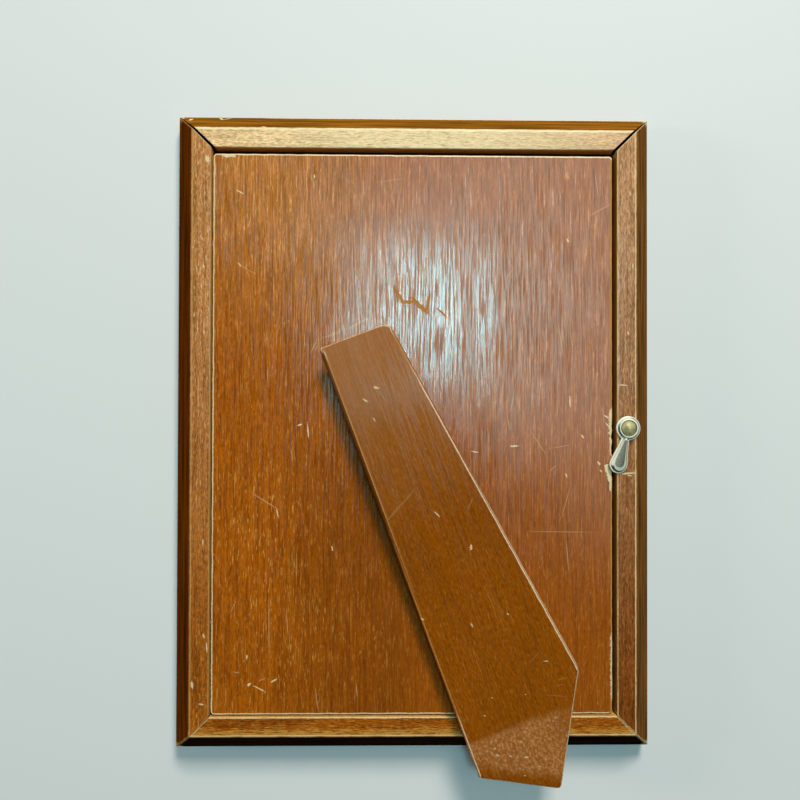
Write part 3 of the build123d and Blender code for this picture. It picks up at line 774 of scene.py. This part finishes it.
PANEL_SCRATCHES = [
    (-32.4, 25.6, -30.6, 29.4, 0.22), (-30.6, 29.6, -21.6, 32.8, 0.2),
    (-21.6, 32.8, -13.1, 37.2, 0.24), (-31, 26.4, -29.7, 29, 0.14), (-55, 53.4, -50, 50.4, 0.14),
    (56, 69.5, 63, 73.4, 0.2), (58, 83.8, 59.2, 75.3, 0.18), (37.2, 1.4, 42.8, -7, 0.15),
    (44, -4.6, 50.4, -3.4, 0.14), (43.4, -12, 46, -9.8, 0.15), (47.3, -27, 50.2, -16.6, 0.16),
    (-51, -18.8, -42.3, -24.2, 0.2), (-57.5, -56.8, -55.6, -52.7, 0.15),
    (-48.3, -78, -46.6, -77.3, 0.22), (29.4, 49, 32, 52.8, 0.15), (36.7, -31, 58, -31.2, 0.12),
    (-11.6, 80, -3, 81.2, 0.12), (30.2, 12.4, 29.7, 7.7, 0.2), (29.7, 7.7, 30.9, 1, 0.2),
    (32.4, 14, 31.1, 6.7, 0.18), (46, 36.5, 48.2, 23.8, 0.18), (50, 34, 50.9, 27.2, 0.18),
    (48.9, -33.5, 49.7, -44, 0.18), (-45.4, -52, -45.2, -71, 0.18),
    (-39.8, -56.6, -39.2, -64, 0.18), (-30.6, -80.4, -29.6, -88, 0.18),
    (-17.7, -79, -17.4, -83, 0.2), (36.4, 59, 36.6, 47.6, 0.17), (-56.4, -75.2, -54.6, -75.6, 0.2),
    (-46, 21.5, -46, 16, 0.18),
]
PANEL_GOUGES = [
    (-5.9, 46, -3.3, 41.9, 0.52), (-3.5, 41.8, 0.9, 41.8, 0.50), (0.8, 41.8, 4.3, 38.6, 0.58),
    (4.2, 38.6, 5.2, 44.2, 0.46), (-0.8, 43.4, 2.4, 40.6, 0.30), (8.2, 39.4, 10.8, 37, 0.3),
]


def panel_finish():
    """Lacquered back panel, from its middle: x to the right, y up, height from its back face."""
    finish = Finish("panel_lacquered_wood")
    place, colour, roughness, relief = wood_ground(finish, *PANEL_TONES, 57, flecks=1.2, grit=1.1)
    across, along, height = place.axes()
    rim = finish.attribute("rim")
    top_face = (height + 1.0).fade(0.0, 0.4)
    # Redder to the right, and painted paler and greyer towards the upper right, above a slanting
    # line: a painted sheen of the lamps
    redder = across.fade(-55, 10)
    colour = colour.coated(redder * 0.50, (0.285, 0.066, 0.002))
    uneven = place.grain(0.05, 0.025, 0, 53, 2.0) - 0.5
    painted_sheen = (along + across * 0.7 + uneven * 30.0).fade(-28.0, 52.0)
    sheen_tone = finish.mix(redder, (0.95, 0.57, 0.16), (0.80, 0.50, 0.36))
    colour = colour.coated(painted_sheen * 0.14, sheen_tone)
    # Right of the middle the lacquer is rubbed dull, in a narrow band and then all the way out
    sway = place.grain(0.7, 0.06, 0, 59, 3.0, 0.6) - 0.5
    dull = (across - 17.5 + sway * 8.0).size().fade(3.5, 1.5) * 0.6
    dull = dull.most((across - 25.0 + sway * 6.0).fade(0.0, 2.5))
    # Lower down, beside the strut and left of the middle, thick lacquer fills the grain
    calm = (across + 26.0).size().fade(17.0, 8.0) * (along - 34.0).fade(0.0, -12.0)
    calm = calm.most((along - 20.0 + uneven * 20.0).fade(2.0, -38.0))
    left = (across + 17.0 + sway * 10.0).fade(3.0, -10.0)
    calm = calm.most(left * (along - 60.0).fade(6.0, -14.0))
    roughness = (roughness + dull * 0.14) * (1.0 - calm * 0.5)
    relief = relief * (1.0 - calm * 0.6)
    # Painted shadow of the strut: the middle, lower down, is painted darker
    kept = (across + 20.0).size().fade(30.0, 12.0)
    kept = kept * (along - 30.0 + uneven * 20.0).fade(0.0, -50.0)
    colour = colour.scaled(1.0 - kept * 0.19)
    # Its fine open grain shows as dark threads and, away from the painted sheen, orange flecks;
    # under the sheen the grain is painted with more contrast and short pale dashes, painted glints
    fine = place.grain(1.9, 0.11, 0, 63, 3.0, 0.72)
    colour = colour.scaled((fine - 0.5) * (painted_sheen * 0.9 + 0.9) + 1.0)
    dashes = fine.fade(0.62, 0.69) * painted_sheen * (along + across * 0.2).fade(-20.0, 25.0)
    colour = colour.coated(dashes * 0.45, (0.98, 0.62, 0.40))
    colour = colour.coated(fine.fade(0.66, 0.72) * (1.0 - painted_sheen) * 0.30, (0.85, 0.42, 0.11))
    # Edges: worn line round the upper arris, palest along the top
    line = worn_line(place, rim.size(), 0.20, 61, gaps=0.35) * top_face
    at_top = (along - (PANEL_HALF[1] - 1.5)).fade(0.0, 0.5)
    at_right = (across - (PANEL_HALF[0] - 1.5)).fade(0.0, 0.5)
    line_tone = finish.mix(at_right, (0.95, 0.74, 0.42), (0.60, 0.32, 0.09))
    line_tone = finish.mix(at_top, line_tone, (0.98, 0.82, 0.52))
    # Chips where the button sweeps over the right edge
    to_edge = across * -1 + PANEL_HALF[0]
    jagged = place.grain(1.1, 1.1, 0, 67, 5.0, 0.80)
    beside = (along - 0.5).size().fade(8.5, 6.5)
    wedge = (along + 9.3).fade(0.5, -0.9) * (along + 17.5).fade(-0.5, 1.5)
    reach = beside * (jagged * 3.6 - 0.75) + wedge * (along * 0.30 + 4.6 + jagged * 2.4)
    low = (along + 74.0).size().fade(12.0, 9.0)
    reach = reach + low * (jagged * 3.0 - 0.85) - 0.05
    chips = (to_edge - reach).fade(0.10, -0.10) * top_face
    nicks = stroke_mask(place, PANEL_NICKS, 71) * top_face
    scratches = stroke_mask(place, PANEL_SCRATCHES, 73, ragged=0.5) * top_face
    gouges = stroke_mask(place, PANEL_GOUGES, 79, ragged=1.0) * top_face
    colour = colour.coated(scratches * 0.6, (0.66, 0.38, 0.17))
    colour = colour.coated(gouges * 0.9, (0.52, 0.20, 0.020))
    colour = colour.coated(line * 0.9, line_tone)
    colour = colour.coated(chips.most(nicks) * 0.92, (0.90, 0.70, 0.40))
    roughness = roughness + chips * 0.3 + gouges * 0.6
    relief = relief - gouges * 2.0
    return finish.surface(colour, roughness, relief, depth=0.03, Specular_IOR_Level=0.40)


panel_material = panel_finish()

# %% [markdown]
# ## The back panel
# The outline is a rectangle with small corner rounds. Its right edge is drawn in a little where
# the turn button has chipped it, so that the chips are real hollows and not only a change of
# colour.

# %% Build the panel
panel_outline = rounded_loop(rectangle(PANEL_HALF[0], PANEL_HALF[1], 1.2), spacing=0.7)
on_right = panel_outline[:, 0] > PANEL_HALF[0] - 0.01
near_button = np.clip(1 - np.abs(panel_outline[:, 1] + 5) / 13, 0, 1)
panel_bite = on_right * near_button * (0.25 + 0.25 * wobble(panel_outline[:, 1], 2.5, 19))
panel_bite = np.clip(panel_bite, 0, None) + 0.04 * (1 + wobble(panel_outline.sum(1), 7.0, 23))
line_inset = PANEL_LINE + 0.1 * (loop_normals(panel_outline).min(axis=1) < -0.7)
panel_points, panel_faces, panel_rim = board(
    panel_outline, PANEL_LOW[2] - PANEL_HIGH[2], 0.0, PANEL_ARRIS, line_inset,
    np.clip(panel_bite, 0, 0.6),
)
add_piece(
    "back_panel_board", panel_points + [PANEL_CENTRE[0], PANEL_CENTRE[1], PANEL_HIGH[2]],
    panel_faces, panel_material, "back", "back_panel",
    {"grain": panel_points, "rim": panel_rim},
)

# %% [markdown]
# ## Finish of the strut
# The strut is sawn from the same timber as the panel, but tables left other marks on it: a hazy
# foot full of small scuffs. Its upper end is painted paler and greyer, a painted sheen. Its
# arrises are worn to pale lines, painted paler on the right and at the top, where they face the
# light, and paler at the scuffed foot; on the right a second line nearer the side is a painted
# highlight, and near the upper end the left arris is painted in shade outside its line, which
# lies further in. Strokes are in millimetres from the upper left corner.

# %% Make the strut's finish
STRUT_THICKNESS, STRUT_TOP_WIDTH = 5.5, 23.1
STRUT_LEAN, STRUT_REST_TILT = 20.6, 0.710
STRUT_ARRIS = 0.8
HINGE_AXIS_HEIGHT = 1.35
STRUT_UNDERCUT, STRUT_STOP_GAP = 45, 0.15   # degrees; mm between the cut and the open stop
STRUT_TONES = (0.302, 0.075, 0.001), (0.235, 0.056, 0.001), (0.46, 0.175, 0.030)

STRUT_NICKS = [
    (11.9, -17.3, 12.8, -18, 0.42), (7.5, -19.7, 8.3, -20.7, 0.32), (8.2, -26.1, 8.5, -27.1, 0.2),
    (16, -60.1, 16.7, -61.7, 0.24), (22.8, -73.7, 22.4, -74.7, 0.4), (0.6, -89.5, 1, -89.9, 0.3),
    (14.4, -96.3, 14.5, -97.3, 0.22), (26, -97.4, 26.2, -97.8, 0.22),
    (31.5, -115.3, 32.6, -115.6, 0.2), (12.3, -120, 12.5, -120.2, 0.16),
    (8.2, -124.4, 8.5, -124.6, 0.18), (22.4, -122.7, 22.5, -122.9, 0.14),
    (7.7, -137.2, 8.1, -137.6, 0.26), (11.2, -138.9, 11.6, -139.2, 0.2),
    (15.7, -141, 16.4, -141.3, 0.26), (18.7, -145.3, 19, -145.4, 0.16),
    (7.6, -135, 7.9, -135.2, 0.16), (13.4, -146.3, 13.7, -146.4, 0.14),
]
STRUT_SCRATCHES = [
    (25.4, -63.1, 28.3, -60.3, 0.25), (12.4, -18.1, 13.6, -22.1, 0.25),
    (6.3, -54.8, 12.6, -51.2, 0.3), (1.2, -57.4, 8, -53.5, 0.35),
    (33.6, -122.2, 36.7, -122.6, 0.2), (32, -123.7, 34.8, -124.1, 0.14),
    (28, -125.1, 34.5, -128.1, 0.14), (27, -114.1, 31.5, -111.9, 0.12),
    (18, -132.1, 29, -136.1, 0.14),
]


def strut_finish():
    """Lacquered strut: x to the right from its left side, y up from its upper end."""
    finish = Finish("strut_lacquered_wood")
    place, colour, roughness, relief = wood_ground(finish, *STRUT_TONES, 83, flecks=0.6, grit=1.2)
    across, along, height = place.axes()
    rim = finish.attribute("rim")
    top_face = (height + 1.0).fade(0.0, 0.4)
    # Hazy, scuffed foot: it has stood on tables
    blotch = place.grain(0.20, 0.20, 0, 87, 3.0, 0.6) - 0.5
    speckle = place.grain(1.3, 0.9, 0, 89, 4.0, 0.8)
    upper = (along + 130.7 + blotch * 5.0 + (speckle - 0.5) * 8.0).fade(1.2, -1.2)
    lower = (along + across * 0.55 + 138.6 + blotch * 7.0).fade(-1.5, 2.5)
    faint = (across + along * 0.35 + 19.4 + blotch * 12.0).fade(6.0, -4.0) * 0.6 + 0.4
    haze = upper * lower * faint * (speckle.fade(0.42, 0.60) * 0.75 + 0.25) * top_face
    colour = colour.coated(haze * 0.56, (0.68, 0.30, 0.10))
    specks = speckle.fade(0.60, 0.65) * upper * lower * faint * top_face
    colour = colour.coated(specks * 0.45, (0.90, 0.58, 0.34))
    # Painted sheen: the upper end is painted paler and greyer
    colour = colour.coated(along.fade(-70.0, 0.0) * 0.45, (0.50, 0.20, 0.05))
    # Worn arrises: one line round the top; on the right a second one nearer the side, which is a
    # painted highlight on the rounding
    line = worn_line(place, rim.size(), 0.19, 93, gaps=0.25)
    second = worn_line(place, (rim + 0.52).size(), 0.13, 97, gaps=0.5)
    right_side = (across + along * 0.1475 - 18.0).fade(-3.0, 2.0)
    on_right = right_side * along.fade(-40.0, -70.0)
    # Near its upper end the left arris is painted in shade outside its worn line, which lies
    # further in
    shaded_left_arris = across.fade(5.0, 2.5) * along.fade(-95.0, -50.0) * along.fade(-0.6, -2.5)
    inner = worn_line(place, (across - 1.25).size(), 0.20, 95, gaps=0.2) * shaded_left_arris
    line = (line * (1 - shaded_left_arris)).most(inner)
    colour = colour.scaled(1.0 - across.fade(1.2, 0.9) * shaded_left_arris * 0.62)
    bare = line.most(second * on_right * along.fade(-122.5, -118.5)) * top_face
    # The lines on the right side and at the top, which face the light, are painted paler, a
    # painted highlight; at the scuffed foot they are paler too
    paler = (along.fade(-6.0, 0.0)).most(right_side * along.fade(-8.0, -26.0))
    paler = paler.most(along.fade(-119.0, -127.0) * 0.9)
    line_tone = finish.mix(paler, (0.52, 0.22, 0.055), (0.86, 0.62, 0.40))
    nicks = stroke_mask(place, STRUT_NICKS, 101) * top_face
    scratches = stroke_mask(place, STRUT_SCRATCHES, 103, ragged=0.6) * top_face
    colour = colour.coated(scratches * 0.4, (0.45, 0.22, 0.09))
    colour = colour.coated(bare * 0.9, line_tone)
    colour = colour.coated(nicks * 0.8, (0.84, 0.62, 0.33))
    roughness = roughness * 0.6 + haze * 0.25 + bare * 0.2 + along.fade(-34.0, -6.0) * 0.3
    relief = relief - nicks * 2.0 + haze * speckle * 0.6
    return finish.surface(colour, roughness, relief, depth=0.014, Specular_IOR_Level=0.18)


strut_material = strut_finish()

# %% [markdown]
# ## The strut
# The strut is a board that widens to a knee and then draws in to a slanted foot. It leans 20.6
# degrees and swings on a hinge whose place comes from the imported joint. The upper end is cut
# under at 45 degrees: opened that far, the cut lies flat on the panel and stops the strut.
# Closed, it tips in by less than a degree, until its underside nearly lies on the lower rail.
# The mesh is drawn in the strut's own directions first, because grain and wear follow the
# board, and only then tipped about its hinge pin and turned to its lean.

# %% Build the strut
strut_outline = rounded_loop([
    (0, 0, 1.4), (0, -142.3, 1.4), (22.7, -154.5, 1.4), (41.0, -121.3, 2.5),
    (STRUT_TOP_WIDTH, 0, 3.0),
], spacing=0.7)
# On the long sides the line lies on the rounding, elsewhere right at the edge
long_side = smooth_step(np.abs(loop_normals(strut_outline)[:, 0]), 0.90, 0.97)
strut_points, strut_faces, strut_rim = board(
    strut_outline, -STRUT_THICKNESS, -0.004, STRUT_ARRIS, 0.18 + 0.42 * long_side,
    0.03 * (1 + wobble(strut_outline.sum(1), 8.0, 29)),
)
# The undercut end: no point reaches further up than the depth that it lies below the outer face
strut_grain = strut_points.copy()
strut_points[..., 1] = np.minimum(strut_points[..., 1], strut_points[..., 2])


def joint_place(name):
    """One joint's place in mm."""
    joint = next(joint for joint in frame["joints"] if joint["name"] == name)
    return np.array(joint["pos_m"]) / MM


def on_hinge(points):
    """Points in the strut's own directions, tipped about the hinge pin and turned to its lean."""
    outer, cut = HINGE_AXIS_HEIGHT + STRUT_THICKNESS, radians(STRUT_UNDERCUT)
    setback = (outer * cos(cut) + HINGE_AXIS_HEIGHT - STRUT_STOP_GAP) / sin(cut)
    x, y, z = np.moveaxis(points - [STRUT_TOP_WIDTH / 2, -setback, -outer], -1, 0)
    c, s = cos(radians(STRUT_REST_TILT)), sin(radians(STRUT_REST_TILT))
    tipped = np.stack([x, c * y - s * z, s * y + c * z], -1)
    return turned_about_z(tipped, STRUT_LEAN) + joint_place("strut_swing")


add_piece(
    "strut_board", on_hinge(strut_points), strut_faces, strut_material, "easel", "strut",
    {"grain": strut_grain, "rim": strut_rim},
)

# %% [markdown]
# ## Finish of the small metal parts
# The turn button was plated, and the plating has dulled to a soft grey with a trace of yellow.
# Tarnish scatters light, so the button and its pin are only partly metallic. On the button the
# lines at the foot of the slopes and the well are painted dark, painted shade darkens the slopes
# that face right and down, and a painted dark reflection greys the tongue's crest. The hinge and
# its screws are brass, and the brads dark steel. All of them share one recipe: a tone, a darker
# stain in slow patches, uneven polish.

# %% Make the metal finishes


def metal_finish(name, tone, stain, roughness, seed, stain_share=0.7, dents=0.01, metallic=1.0,
                 dirt_and_shade=False):
    """Tarnished metal: a tone, a darker stain in slow patches, and fine uneven polish."""
    finish = Finish(name)
    place = finish.object_place()
    slow = place.grain(420, 420, 420, seed, 3.0, 0.6)
    quick = place.grain(2100, 2100, 2100, seed + 3, 2.0, 0.6)
    mask = slow.fade(0.42, 0.68) * stain_share
    colour = finish.mix(mask, tone, stain)
    rough = slow * 0.12 + quick * 0.10 + roughness
    if dirt_and_shade:
        # Painted darkness read from the piece: dark lines, the dark well, painted shade on slopes
        # and a painted dark reflection on the crest
        grime_and_shade = (finish.attribute("dirt_and_shade") + (quick - 0.5) * 0.3).clamp()
        colour = colour.coated(grime_and_shade, (0.045, 0.050, 0.030))
        rough = rough + grime_and_shade * 0.25
    height = slow * 0.5 + quick * 0.5
    return finish.surface(colour, rough, height, depth=dents, Metallic=metallic)


nickel = metal_finish(
    "dull_nickel", (1.0, 0.98, 0.80), (0.90, 0.86, 0.64), 0.30, 5, 0.5, metallic=0.12, dirt_and_shade=True
)
brass = metal_finish(
    "tarnished_brass", (0.62, 0.55, 0.27), (0.30, 0.26, 0.11), 0.42, 15, 0.9, 0.12, 0.35
)
hinge_brass = metal_finish("hinge_brass", (0.60, 0.46, 0.22), (0.26, 0.17, 0.07), 0.30, 25)
steel = metal_finish("dark_steel", (0.42, 0.41, 0.40), (0.16, 0.12, 0.09), 0.38, 35)

# %% [markdown]
# ## The turn button
# It is stamped from one sheet: a thin flat rim follows the outline, and inside it the eye and
# the tongue stand up with sloping sides. The outline is a circle joined smoothly to a teardrop.
# The grid runs from a spine (the rim of the pin's hole, then a line down the tongue) out to
# that outline, which is found on all rays at once by halving the interval. The height at each
# point follows from its distance to the outline and to the pin.

# %% Build the turn button
EYE_RADIUS, NECK_RADIUS, TIP_RADIUS, REACH = 3.85, 1.2, 2.85, 11.9
FLANGE, BUTTON_THICKNESS, BUTTON_RIM, BUTTON_BEVEL = 0.8, 1.7, 0.4, 1.0
TIP_SETBACK, COLLAR_RADIUS, WELL_RADIUS, EYE_FLOOR = 0.7, 2.8, 2.5, 0.9
PIN_HOLE_RADIUS, BUTTON_LEAN, UNDER_EDGE = 0.95, 15.5, 0.06
EYE_RAYS, SIDE_RAYS, TIP_RAYS = 220, 90, 74
SPINE_GAP = 22                              # degrees of the hole's rim left open, each side
NECK_START, LONGEST_RAY, HALVINGS = 3.75, 9.0, 40


def teardrop(x, y, neck_radius, tip_radius, reach):
    """Signed distance from the hull of two circles: along the line between their centres the
    radius grows evenly, measured square to the hull's straight sides."""
    span = reach - EYE_RADIUS
    slope = (tip_radius - neck_radius) / span
    down = -y - EYE_RADIUS
    side = np.abs(x)
    foot = np.clip((down + side * slope / sqrt(1 - slope ** 2)) / span, 0, 1)
    return np.hypot(side, down - foot * span) - (neck_radius + foot * (tip_radius - neck_radius))


def button_outline(x, y, blend=0.35):
    """Signed distance from the button's edge: eye and tongue, with a small fillet between."""
    eye = np.hypot(x, y) - EYE_RADIUS
    tongue = teardrop(x, y, NECK_RADIUS, TIP_RADIUS, REACH)
    mixing = np.clip(0.5 + 0.5 * (tongue - eye) / blend, 0, 1)
    return tongue + (eye - tongue) * mixing - blend * mixing * (1 - mixing)


def button_height(x, y):
    """Top surface: rounded rim, collar round the pin's well, raised middle of the tongue."""
    inside = np.maximum(-button_outline(x, y), 0)
    pin_away = np.hypot(x, y)
    foot = -teardrop(x, y, NECK_RADIUS - BUTTON_RIM, TIP_RADIUS - BUTTON_RIM, REACH)
    crest = teardrop(x, y, 0.3, TIP_RADIUS - BUTTON_RIM - BUTTON_BEVEL, REACH - TIP_SETBACK)
    rise = np.clip(foot / np.maximum(foot + np.maximum(crest, 0), 1e-6), 0, 1)
    rise = rise * smooth_step(-y, 2.2, 3.0)
    collar = 1 - smooth_step(pin_away, COLLAR_RADIUS, EYE_RADIUS - BUTTON_RIM)
    raised = np.maximum(rise, collar)
    height = FLANGE + (BUTTON_THICKNESS - FLANGE) * raised
    edge = 0.35
    rounding = edge - np.sqrt(np.maximum(edge ** 2 - (edge - np.minimum(inside, edge)) ** 2, 0))
    height = height - rounding
    well = smooth_step(pin_away, WELL_RADIUS - 0.06, WELL_RADIUS + 0.10)
    return EYE_FLOOR + (height - EYE_FLOOR) * well


def button_dirt_and_shade(x, y):
    """How dark each point is painted: the lines at the foot of the slopes and the well; painted
    shade on the slopes that face right, under the tip and at the lower left of the eye; and a
    painted dark reflection that greys the tongue's crest."""
    inside, pin_away = -button_outline(x, y), np.hypot(x, y)
    on_tongue = pin_away > EYE_RADIUS
    foot_line = np.exp(-((inside - BUTTON_RIM - 0.06) / 0.17) ** 2)
    well = 1 - smooth_step(pin_away, WELL_RADIUS - 0.05, WELL_RADIUS + 0.15)
    slope = smooth_step(inside, BUTTON_RIM, BUTTON_RIM + 0.1) * (
        1 - smooth_step(button_height(x, y), BUTTON_THICKNESS - 0.10, BUTTON_THICKNESS - 0.02)
    )
    near_foot = 1 - smooth_step(inside, BUTTON_RIM + 0.15, BUTTON_RIM + 0.35)
    shaded = smooth_step(x, -0.2, 0.8) * (0.10 + 0.75 * near_foot) * on_tongue
    tip_away, start = np.hypot(x, y + REACH), 1.78 + 0.17 * np.clip(x, -2, 2)
    under_tip = smooth_step(tip_away, start, start + 0.2)
    under_tip = under_tip * smooth_step(-y, REACH + 0.5, REACH + 1.1)
    low_left = smooth_step(-x * 0.8 - y * 0.6, 1.5, 3.0) * ~on_tongue
    # Painted dark reflection: the tongue's crest is painted grey
    crest = (1 - slope) * (inside > BUTTON_RIM) * on_tongue * (0.84 + 0.08 * np.clip(x, -1, 1))
    sides = 0.25 + 0.75 * smooth_step(x, -0.6, 0.6)
    slopes = slope * np.maximum(shaded, under_tip + low_left * 0.9)
    return np.clip(np.maximum(foot_line * sides, slopes) + well + crest, 0, 1)


def on_circle(angle):
    """Points of the unit circle."""
    return np.stack([np.cos(angle), np.sin(angle)], -1)


def button_spine():
    """Start points and directions of the rays: round the hole, down the tongue, round its tip."""
    open_angle = radians(SPINE_GAP)
    eye_way = on_circle(np.linspace(-pi / 2 + open_angle, 3 * pi / 2 - open_angle, EYE_RAYS))
    slope = (TIP_RADIUS - NECK_RADIUS) / (REACH - EYE_RADIUS)
    share = np.linspace(0, 1, SIDE_RAYS + 2)[1:-1]
    start_y = -PIN_HOLE_RADIUS - (REACH - PIN_HOLE_RADIUS) * share
    target_y = -NECK_START + (NECK_START - REACH + slope * TIP_RADIUS) * share ** 0.9
    target_x = -(NECK_RADIUS + (-target_y - EYE_RADIUS) * slope)
    down_start = np.stack([np.zeros_like(start_y), start_y], -1)
    down_way = np.stack([target_x, target_y], -1) - down_start
    side_angle = np.arcsin(slope)
    tip_way = on_circle(np.linspace(pi - side_angle, 2 * pi + side_angle, TIP_RAYS))
    tip_start = np.broadcast_to([0.0, -REACH], tip_way.shape)
    mirror = np.array([-1.0, 1.0])
    start = [PIN_HOLE_RADIUS * eye_way, down_start, tip_start, down_start[::-1] * mirror]
    way = np.concatenate([eye_way, down_way, tip_way, down_way[::-1] * mirror])
    return np.concatenate(start), way / np.linalg.norm(way, axis=1)[:, None]


def along_rays(share):
    """Plan points at each share of the way from the spine to the outline, on every ray."""
    return spine + way * (share[:, None] * near)[..., None]


spine, way = button_spine()
near, far = np.zeros(len(spine)), np.full(len(spine), LONGEST_RAY)
for _ in range(HALVINGS):
    middle = (near + far) / 2
    outside = button_outline(*(spine + way * middle[:, None]).T) > 0
    near, far = np.where(outside, near, middle), np.where(outside, middle, far)
flat = along_rays(np.concatenate([np.linspace(0, 0.8, 34)[:-1], np.linspace(0.8, 1, 20)]))
top = lifted(flat, button_height(flat[..., 0], flat[..., 1]))
under_height = np.array([UNDER_EDGE, 0.0, 0.0, 0.0])
under = lifted(along_rays(np.array([1.0, 0.97, 0.5, 0.0])), under_height[:, None])
button_grid = np.concatenate([top, under])
rows, columns = button_grid.shape[:2]
button_faces = grid_faces(rows, columns)
# The hole's wall goes round the eye and closes at the start of the tongue's line
wall = np.append(np.arange(EYE_RAYS), columns - 1)
ahead, last_row = (wall + 1) % columns, (rows - 1) * columns
button_faces += np.stack([ahead, wall, last_row + wall, last_row + ahead], -1).tolist()
dirt_and_shade = button_dirt_and_shade(button_grid[..., 0], button_grid[..., 1])
dirt_and_shade[-len(under):] = 0.5
pivot = joint_place("button_turn")
add_piece(
    "turn_button_stamping", turned_about_z(button_grid, -BUTTON_LEAN) + pivot, button_faces,
    nickel, "button", "turn_button", {"dirt_and_shade": dirt_and_shade}, soft_angle=50,
)

# %% [markdown]
# ## The round-head pin
# A headed pin is a profile turned about its axis: shank, flat underside, short rim and crown.
# It holds the turn button down and the button turns round it, so it stays with the frame.

# %% Turn the pin


def turned_profile(profile, columns):
    """Profile (radius, height) carried round the Z axis."""
    radius, height = np.array(profile, dtype=float).T
    angle = np.linspace(0, 2 * pi, columns, endpoint=False)
    points = lifted(radius[:, None, None] * on_circle(angle), height[:, None])
    return points, grid_faces(len(radius), columns)


def domed_profile(dome_radius, rim_height, dome_height, shank_radius, shank_length, steps=14):
    """Shank, flat underside, short rim and a circular crown, from the bottom to the pole."""
    rise = dome_height - rim_height
    sphere = (dome_radius ** 2 + rise ** 2) / (2 * rise)
    across = np.linspace(dome_radius, 0, steps)
    crown = dome_height - sphere + np.sqrt(sphere ** 2 - across ** 2)
    foot = [(0, -shank_length), (shank_radius, -shank_length), (shank_radius, 0)]
    return foot + [(dome_radius - 0.08, 0), (dome_radius, 0.08)] + list(zip(across, crown))


PIN_RIM, PIN_CROWN, PIN_SHANK_RADIUS = 0.4, 1.6, 0.9
pin_low, pin_high = node_box("turn_button_pin")
pin_radius, shank_length = (pin_high[0] - pin_low[0]) / 2, pin_high[2] - pin_low[2] - PIN_CROWN
pin_profile = domed_profile(pin_radius, PIN_RIM, PIN_CROWN, PIN_SHANK_RADIUS, shank_length)
pin_points, pin_faces = turned_profile(pin_profile, 96)
add_piece(
    "turn_button_round_pin", pin_points + [pivot[0], pivot[1], pin_high[2] - PIN_CROWN], pin_faces,
    brass, "frame", "turn_button_pin",
)

# %% [markdown]
# ## The picture behind the glass
# On the front, behind clear glass, lies a plain sheet of aged paper with nothing on it. It is
# drawn in a hair's breadth from the glass and the card, because two faces in one place flicker.

# %% Build the sheet
HAIR = 0.03
finish = Finish("aged_paper")
place = finish.object_place()
cloud = place.grain(18, 18, 18, 3, 3.0, 0.6)
fibre = place.grain(900, 900, 900, 9, 3.0, 0.7)
foxing = place.grain(130, 130, 130, 12).fade(0.70, 0.78)
tone = finish.mix(cloud.fade(0.35, 0.75), (0.74, 0.70, 0.60), (0.66, 0.58, 0.44))
tone = finish.mix(foxing * 0.4, tone, (0.48, 0.32, 0.16))
paper = finish.surface(tone, fibre * 0.1 + 0.5, fibre, depth=0.01)

print_low, print_high = node_box("picture_print")
half_sheet = (print_high - print_low) / 2 - HAIR
sheet_outline = rounded_loop(rectangle(half_sheet[0], half_sheet[1], 0.3), spacing=12.0)
sheet_points = np.stack([lifted(sheet_outline, level) for level in (0.0, half_sheet[2] * 2)])
sheet_place = (print_low + print_high) / 2 * [1, 1, 0] + [0, 0, print_low[2] + HAIR]
add_piece(
    "plain_paper_sheet", sheet_points + sheet_place, closed_tube(2, len(sheet_outline)), paper,
    "frame", "picture_print",
)

# %% [markdown]
# ## Finishes for the parts that stay as they are
# The glass, the filler card, the hinge and the brads already have the right shape, so they only
# take a finish. Glass is a clear, smooth transmitter with a faint green; the card is grey, with
# the short fibres of pressed board. The floor gets a plain pale finish here too.

# %% Assign the remaining finishes
finish = Finish("clear_glass")
smears = finish.object_place().grain(25, 60, 25, 4, 3.0, 0.6).fade(0.5, 0.9)
glass = finish.surface(
    (0.97, 0.99, 0.98), smears * 0.05 + 0.01, Transmission_Weight=1.0, IOR=1.5
)
finish = Finish("grey_card")
fibre = finish.object_place().grain(700, 700, 700, 6, 3.0, 0.7)
tone = finish.mix(fibre.fade(0.3, 0.7), (0.30, 0.27, 0.23), (0.42, 0.38, 0.32))
card = finish.surface(tone, fibre * 0.1 + 0.8, fibre, depth=0.02)
finish = Finish("pale_table")
cloud = finish.object_place().grain(3, 3, 3, 8, 3.0)
tone = finish.mix(cloud, (0.78, 0.78, 0.77), (0.82, 0.82, 0.81))
floor.data.materials.append(finish.surface(tone, cloud * 0.1 + 0.6))

kept_finishes = {
    "glass_pane": glass, "filler_card": card,
    "hinge_leaf_panel": hinge_brass, "hinge_leaf_strut": hinge_brass, "hinge_pin": steel,
    "hinge_screws_panel": hinge_brass, "hinge_screws_strut": hinge_brass,
    "panel_locating_pins": steel,
    **{f"corner_brads_{y}_{x}": steel for y in ("top", "bottom") for x in ("left", "right")},
}
for name, finish in kept_finishes.items():
    for slot in frame["nodes"][name].material_slots:
        slot.material = finish
print("kept parts:", len(kept_finishes))
